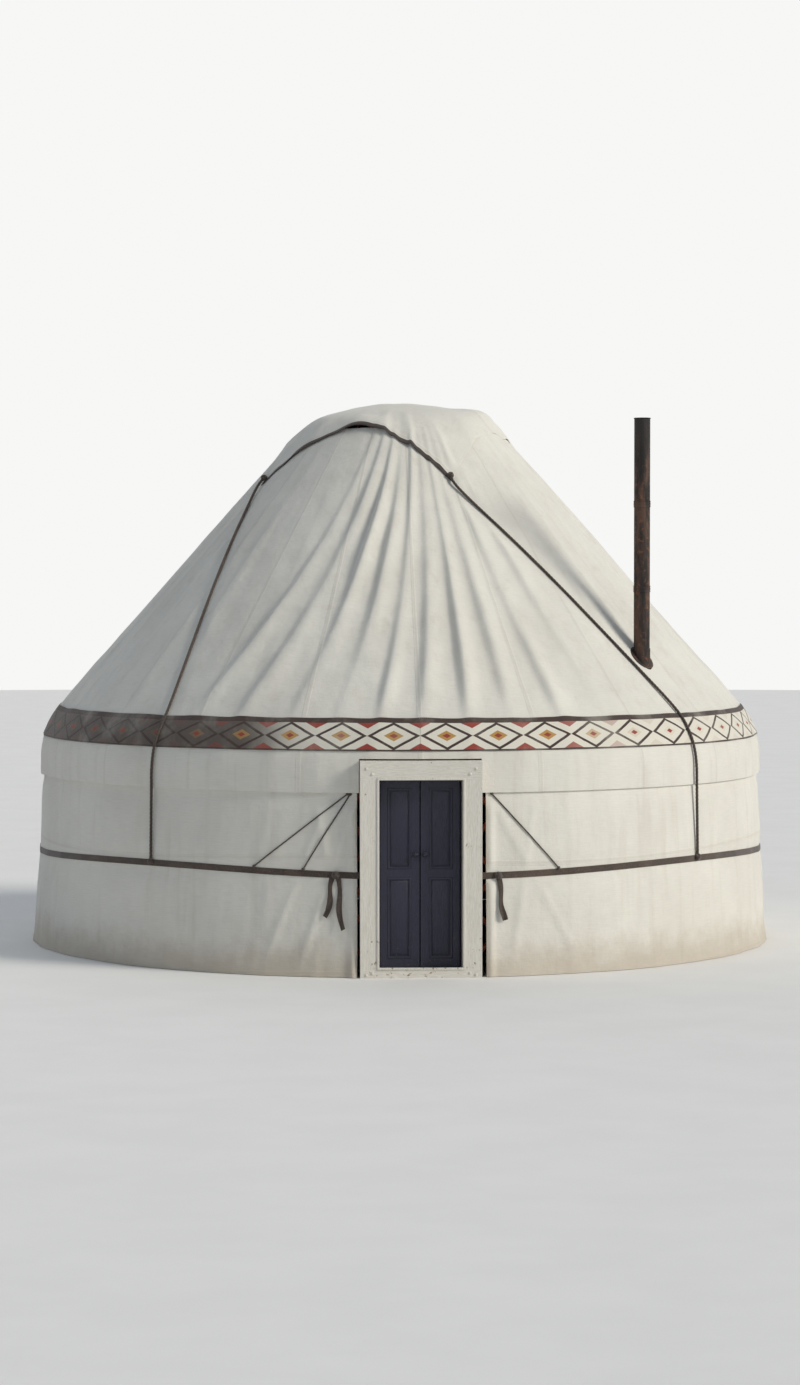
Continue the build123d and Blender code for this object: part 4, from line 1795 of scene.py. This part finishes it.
@dataclass
class LatticeTies:
    """Rawhide knots where the laths cross, and the cords that bind the poles to the lattice."""

    hide: Material
    cord: Material
    corner: float = 2.8585
    middle: float = 2.8522
    rise: float = 0.22333
    foot: float = 0.08
    rows: int = 6
    door_half: float = 0.49
    knot_radius: float = 0.012
    cord_radius: float = 0.0038
    cord_length: float = 0.052
    cord_bend: float = 0.006

    def build(self) -> list:
        """Makes the knots and lashings, one piece of each to each quarter.

        Returns:
            The pieces.
        """
        made = []
        for number, side in enumerate(SIDES):
            first = number * POLES // 4 * 2 - POLES // 4
            spots, binds = [], []
            for half in range(first, first + POLES // 2):
                between = half % 2
                turn = half * math.pi / POLES
                radius = self.middle if between else self.corner
                x, y = radius * math.sin(turn), -radius * math.cos(turn)
                if y < 0 and abs(x) < self.door_half:
                    continue
                face = Matrix.Rotation(turn, 4, "Z")
                for row in range(between, self.rows, 2):
                    spots.append(moved(x, y, self.foot + row * self.rise) @ face)
                if not between:
                    binds.append(moved(x, y, self.foot + self.rows * self.rise) @ face)
            made += [
                finished(join(f"rawhide_knots_{side}", copies(self.knot(), spots)), self.hide),
                finished(join(f"pole_lashings_{side}", copies(self.lashing(), binds)), self.cord)]
        return made

    def knot(self) -> Piece:
        """Makes one flat knot that faces inward, towards +Y.

        Returns:
            The knot.
        """
        piece = Bench.rod("knot", self.knot_radius, 0.004)
        piece.data.transform(moved(0, 0.002, 0) @ turned(-90, "X"))
        Bench.pick(piece, (0, 1, 0))
        Bench.inset(0.004, (0, 0.0035, 0))
        Bench.inset(0.003, (0, -0.0015, 0))
        Bench.done()
        soften(piece, 50.0)
        return piece

    def lashing(self) -> Piece:
        """Makes three turns of cord over a crossing, seen from the inside.

        Returns:
            The lashing.
        """
        turns = []
        for tilt, shift in ((12.0, -0.010), (-8.0, 0.0), (9.0, 0.011)):
            rod = Bench.rod("cord", self.cord_radius, self.cord_length, sides=6)
            for end in (1, -1):
                Bench.pick(rod, (0, 0, end))
                Bench.extrude((0, -self.cord_bend, 0.004 * end))
            Bench.done()
            rod.data.transform(moved(0, 0.004, shift) @ turned(90.0 + tilt, "Y"))
            turns.append(rod)
        piece = join("lashing", turns)
        soften(piece, 60.0)
        return piece


@dataclass
class DoorTrim:
    """Mouldings in the panels of the leaves, a bead round the opening and pegs in the frame."""

    white: Material
    blue: Material
    face: float = -3.0  # of the frame
    floor: float = -2.832  # of the panels
    panel_low: float = 0.066
    panel_high: float = 0.243
    panel_half: float = 0.301
    panel_gap: float = 0.0006
    levels: tuple = (0.428, 1.092)
    panel_bead: tuple = (0.015, 0.0115)  # width and height
    field_edge: float = 0.022
    opening: tuple = ((-0.326, 0.0605), (0.326, 1.476))
    opening_bead: tuple = (0.0165, 0.007)
    peg_radius: float = 0.0105
    peg_columns: tuple = (-0.405, -0.36, 0.36, 0.405)
    peg_rows: tuple = ((1.525, 0.02), (0.030, -0.006))

    def build(self) -> list:
        """Makes all the mouldings, the bead and the pegs.

        Returns:
            Pairs of a piece and the body that it rides on.
        """
        made = []
        gap = self.panel_gap
        for hand in Hand:
            side = hand.name.lower()
            left, right = sorted((hand.value * self.panel_low, hand.value * self.panel_high))
            parts = []
            for middle in self.levels:
                low = (left + gap, middle - self.panel_half + gap)
                high = (right - gap, middle + self.panel_half - gap)
                parts += [self.moulding(low, high, self.floor, *self.panel_bead),
                          self.field(low, high)]
            piece = finished(join(f"leaf_mouldings_{side}", parts), self.blue)
            made.append((piece, f"{side}_leaf"))
        bead = self.moulding(*self.opening, self.face, *self.opening_bead)
        bead.name = "opening_bead"
        made += [(finished(bead, self.white), "house"), (self.pegs(), "house")]
        return made

    def moulding(self, low: tuple, high: tuple, y: float, width: float, proud: float) -> Piece:
        """A frame of bead that stands on an upright face.

        Args:
            low: Its lower left corner in X and Z.
            high: Its upper right corner in X and Z.
            y: Where the face is.
            width: The width of the bead.
            proud: How far the bead stands off it.

        Returns:
            The piece.
        """
        piece = Bench.start(
            "bead", bpy.ops.mesh.primitive_plane_add, (high[0] - low[0], high[1] - low[1], 1.0),
            size=1.0, rotation=(math.pi / 2, 0.0, 0.0),
            location=((low[0] + high[0]) / 2, y - proud, (low[1] + high[1]) / 2))
        Bench.pick(piece, (0, -1, 0))
        bpy.ops.mesh.inset(thickness=width)
        bpy.ops.mesh.delete(type="FACE")
        bpy.ops.mesh.select_all(action="SELECT")
        Bench.extrude((0, proud, 0))
        Bench.done()
        Bench.bevel(piece, min(width, proud) * 0.3, 3)
        return piece

    def field(self, low: tuple, high: tuple) -> Piece:
        """The raised middle of a panel, with sloping edges.

        Args:
            low: The panel's lower left corner in X and Z.
            high: Its upper right corner in X and Z.

        Returns:
            The piece.
        """
        edge = self.field_edge
        sides = ((low[0] + edge, high[0] - edge), (self.floor - 0.002, self.floor + 0.001),
                 (low[1] + edge, high[1] - edge))
        piece = Bench.start("field", bpy.ops.mesh.primitive_cube_add, [h - l for l, h in sides],
                            size=1.0, location=[(h + l) / 2.0 for l, h in sides])
        Bench.pick(piece, (0, -1, 0))
        Bench.inset(0.020, (0, -0.005, 0))
        Bench.done()
        Bench.bevel(piece, 0.0012)
        return piece

    def pegs(self) -> Piece:
        """Makes wooden pegs through the corner joints of the frame.

        Returns:
            The piece.
        """
        model = Bench.rod("peg", self.peg_radius, 0.006, sides=10)
        model.data.transform(turned(90, "X"))
        Bench.pick(model, (0, -1, 0))
        Bench.inset(0.003, (0, -0.0022, 0))
        Bench.done()
        spots = []
        for x in self.peg_columns:
            for z, shift in self.peg_rows:
                drop = shift if abs(x) > 0.38 else -shift
                spots.append(moved(x, self.face - 0.0015, z + drop))
        return finished(join("frame_pegs", copies(model, spots)), self.white, 40.0)


@dataclass
class PipeBands:
    """Rolled joints where the lengths of stovepipe meet, and a wired rim at its top."""

    steel: Material
    place: tuple = PIPE_PLACE
    radius: float = 0.0632
    joints: tuple = (2.86, 3.52)
    joint_height: float = 0.05
    joint_swell: float = 0.035
    sheet: float = 0.0016
    rim_radius: float = 0.0637
    rim_wire: float = 0.0035
    top: float = 4.186
    sides: int = 48

    def build(self) -> Piece:
        """Makes the joints and the rim.

        Returns:
            The piece.
        """
        parts = []
        for height in self.joints:
            band = Bench.rod("joint", self.radius, self.joint_height, self.sides, "NOTHING")
            Bench.open(band)
            bpy.ops.mesh.subdivide(number_cuts=4)
            shape = bmesh.from_edit_mesh(band.data)
            for point in shape.verts:
                along = point.co.z / (self.joint_height / 2)
                swell = 1.0 + self.joint_swell * math.cos(along * math.pi) ** 2
                point.co.x *= swell
                point.co.y *= swell
            bmesh.update_edit_mesh(band.data)
            Bench.done()
            wall = band.modifiers.new("wall", "SOLIDIFY")
            wall.thickness = self.sheet
            wall.offset = 1.0
            apply_all(band)
            band.data.transform(moved(0, 0, height))
            parts.append(band)
        rim = Bench.ring("rim", self.rim_radius, self.rim_wire, around=self.sides)
        rim.data.transform(moved(0, 0, self.top))
        piece = join("pipe_joints", parts + [rim])
        piece.data.transform(moved(*self.place, 0))
        return finished(piece, self.steel, 50.0)


@dataclass
class Studio:
    """The pale floor, the soft lamps, the backdrop and the camera."""

    azimuth: float = -3.0
    rise: float = 2.0
    lens: float = 85.0
    sensor: float = 36.0
    distance: float = 27.0
    aim: tuple = (0.0, 0.0, 2.0)
    pale: tuple = (0.86, 0.85, 0.83, 1.0)
    floor_radius: float = 60.0
    sky: tuple = (0.72, 0.84, 1.0, 1.0)
    sky_power: float = 0.28
    backdrop: tuple = (0.93, 0.93, 0.92, 1.0)
    lamp_distance: float = 20.0
    lamps: tuple = (("key", 64.0, 30.0, 20.0, 2.35, (1.0, 0.955, 0.87)),
                    ("fill", -35.0, 35.0, 60.0, 0.10, (0.90, 0.94, 1.0)),
                    ("back", 195.0, 40.0, 60.0, 0.45, (1.0, 1.0, 1.0)))

    def floor(self) -> Piece:
        """Makes a wide pale floor.

        Returns:
            The floor.
        """
        clear()
        bpy.ops.mesh.primitive_circle_add(vertices=96, radius=self.floor_radius, fill_type="NGON",
                                          location=(0.0, 0.0, 0.0))
        floor = bpy.context.object
        floor.name = "studio_floor"
        paint = Paint("pale floor", 0.85)
        w = paint.write
        grain = w.fit(w.noise(paint.place, 1.5), 0.3, 0.7)
        paint.colour(w.blend(grain, self.pale, darker(self.pale, 0.97)))
        return finished(floor, paint.material)

    def world(self) -> None:
        """Lights the house from an even sky, and shows a pale one to the camera and mirrors."""
        world = bpy.data.worlds.new("studio")
        world.use_nodes = True
        bpy.context.scene.world = world
        w = Nodes(world.node_tree)
        nodes = world.node_tree.nodes
        light = w.fill(nodes["Background"], Color=self.sky, Strength=self.sky_power)
        seen = w.add("Background", self.backdrop, 1.0)
        path = w.add("LightPath").outputs
        mirrored = w.sums("MAXIMUM", path["Is Glossy Ray"], path["Is Transmission Ray"])
        mix = w.add("MixShader", w.sums("MAXIMUM", path["Is Camera Ray"], mirrored),
                    light.outputs[0], seen.outputs[0])
        w.feed(nodes["World Output"].inputs[0], mix.outputs[0])

    def lamp(self, name: str, azimuth: float, rise: float, spread: float, power: float,
             tint: tuple) -> None:
        """A soft lamp from far off.

        Args:
            name: The lamp's name.
            azimuth: Its angle from the door towards the right, in degrees.
            rise: Its angle above the ground, in degrees.
            spread: How wide it looks from the house, in degrees.
            power: Its strength in watts to a square metre.
            tint: Its colour.
        """
        data = bpy.data.lights.new(name, "SUN")
        data.angle = math.radians(spread)
        data.energy = power
        data.color = tint
        lamp = linked(name, data)
        towards = heading(azimuth, rise)
        lamp.location = towards * self.lamp_distance
        lamp.rotation_euler = towards.to_track_quat("Z", "Y").to_euler()

    def camera(self) -> None:
        """Sets the camera at the photograph's angle."""
        data = bpy.data.cameras.new("view")
        data.lens = self.lens
        data.sensor_width = self.sensor
        camera = linked("view", data)
        back = heading(self.azimuth, self.rise)
        camera.location = Vector(self.aim) + back * self.distance
        camera.rotation_euler = (-back).to_track_quat("-Z", "Y").to_euler()
        bpy.context.scene.camera = camera

    def build(self) -> None:
        """Sets up the whole studio."""
        self.floor()
        self.world()
        for lamp in self.lamps:
            self.lamp(*lamp)
        self.camera()
        bpy.context.scene.view_settings.view_transform = "Standard"


def hand_over(piece: Piece, slot: str, *nodes: str, body: str = "house") -> None:
    """Enters a piece in the frame and logs it.

    Args:
        piece: The piece.
        slot: Not used.
        *nodes: The nodes of the frame that it replaces.
        body: The body that it rides on.
    """
    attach(piece, body)
    if nodes:
        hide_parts(*nodes)
    LOG.info("%s made", piece.name)


def main() -> None:
    """Builds and dresses the whole house."""
    logging.basicConfig(level=logging.INFO, format="%(message)s")
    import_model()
    shared = Shared()
    canvas = CanvasFinish().make(shared)
    wall_canvas = CanvasFinish(name="wall canvas", level=True, width=0.86).make(shared)
    # The crown canvas gets a dark band of painted shade along two opposite edges.
    crown_canvas = CanvasFinish(
        name="crown canvas", edge_shade=(0.05, 0.035, 0.03, 1.0),
        edge_shade_half=CROWN_CORNER / math.sqrt(2.0) * CROWN_EASE - 0.030).make(shared)
    wool = WoolFinish().make()
    ochre = WoodFinish("red ochre laths", (0.36, 0.075, 0.035, 1.0), (0.22, 0.04, 0.02, 1.0),
                       wear=0.02, stretch=(24.0, 60.0, 24.0), bent=True)
    laths = ochre.make(shared)
    poles = replace(ochre, name="red ochre poles", stretch=(60.0, 4.0, 4.0)).make(shared)
    rings = replace(ochre, name="red ochre ring", stretch=(4.0, 60.0, 60.0)).make(shared)
    painted = WoodFinish("white painted posts", (0.80, 0.77, 0.70, 1.0), (0.66, 0.62, 0.54, 1.0),
                         wear=0.09)
    white = painted.make(shared)
    rails = replace(painted, name="white painted rails", stretch=(4.0, 60.0, 60.0)).make(shared)
    # Nearly black navy: the paint's own colour, darkened further as painted shade of the deep
    # doorway.
    blue = WoodFinish("blue painted wood", (0.010, 0.011, 0.036, 1.0), (0.005, 0.006, 0.020, 1.0),
                      bare=(0.14, 0.09, 0.06, 1.0), wear=0.04, rough=0.48, coat=0.05).make(shared)
    steel = SteelFinish().make()
    felt = FeltFinish().make()

    sectors = [quarter.value for quarter in Quarter]
    roof = RoofShape()
    wall = WallShape()
    for piece in RoofCover(roof, canvas, felt).build():
        side = piece.name.rsplit("_", 1)[1]
        covered = [s for s in sectors if ("front" in s) == (side == "front")]
        hand_over(piece, "white_felt", *[f"roof_cover_{s}" for s in covered])
    wall_parts = {"wall_felt_right": sectors[0:3], "wall_felt_back": sectors[3:5],
                  "wall_felt_left": sectors[5:8]}
    for piece in WallCover(wall, wall_canvas, felt).build():
        covered = wall_parts[piece.name]
        hand_over(piece, "white_felt", *[f"wall_cover_{s}" for s in covered])
        [f"lattice_{s}" for s in covered]
    crown = CrownCover(roof, crown_canvas).build()
    hand_over(crown, "white_felt", "crown_cover")
    # The left half's dark fill is partly painted shade of the side away from the light.
    bands = {Hand.RIGHT: BandFinish("woven band right", 0.0).make(shared),
             Hand.LEFT: BandFinish("woven band left", 0.92).make(shared)}
    for piece in EaveBand(roof, bands).build():
        hand_over(piece, "patterned_band", piece.name.replace("woven", "eave"))
    strap = GirthStrap(wall, wool).build()
    hand_over(strap, "dark_strap", "girth_strap")
    for piece in CrownRopes(roof.ropes, TwistedRope(wool, radius=0.0125, pitch=0.09)).build():
        hand_over(piece, "dark_strap", "crown_ropes")
    for piece in WallTies(wall, TwistedRope(wool, radius=0.006, pitch=0.05, spacing=0.010)).build():
        hand_over(piece, "dark_strap")
    tails = StrapTails(wall, wool)
    hand_over(tails.knots(), "dark_strap")
    for piece, length in tails.build():
        hand_over(piece, "dark_strap")
        below = "wall_felt_right" if "right" in piece.name else "wall_felt_left"
    hide = WoolFinish("rawhide", (0.20, 0.12, 0.06, 1.0), (0.42, 0.30, 0.18, 1.0), 60.0).make()
    cord = WoolFinish("wool cord", (0.10, 0.07, 0.05, 1.0), (0.30, 0.22, 0.15, 1.0), 220.0).make()
    for piece in LatticeTies(hide, cord).build():
        hand_over(piece, "dark_strap" if "lash" in piece.name else "red_wood")
    for piece, body in DoorTrim(white, blue).build():
        hand_over(piece, "white_wood" if body == "house" else "blue_wood", body=body)
    hand_over(PipeBands(steel).build(), "sooty_steel")
    finishes = {f"lattice_{s}": laths for s in sectors}
    finishes |= {f"roof_poles_{s}": poles for s in SIDES}
    finishes |= {f"crown_{part}": rings for part in ("ring", "bows")}
    finishes |= {f"door_post_{hand.name.lower()}": white for hand in Hand}
    finishes |= {f"door_{part}": rails for part in ("sill", "lintel")}
    finishes |= {f"door_{part}_{hand.name.lower()}": blue for part in ("leaf", "knob")
                 for hand in Hand}
    finishes |= {name: steel for name in ("stove_pipe", "pipe_collar")}
    LOG.info("frame pieces dressed: %d", Dresser(finishes).dress())
    Studio().build()


if __name__ == "__main__":
    main()
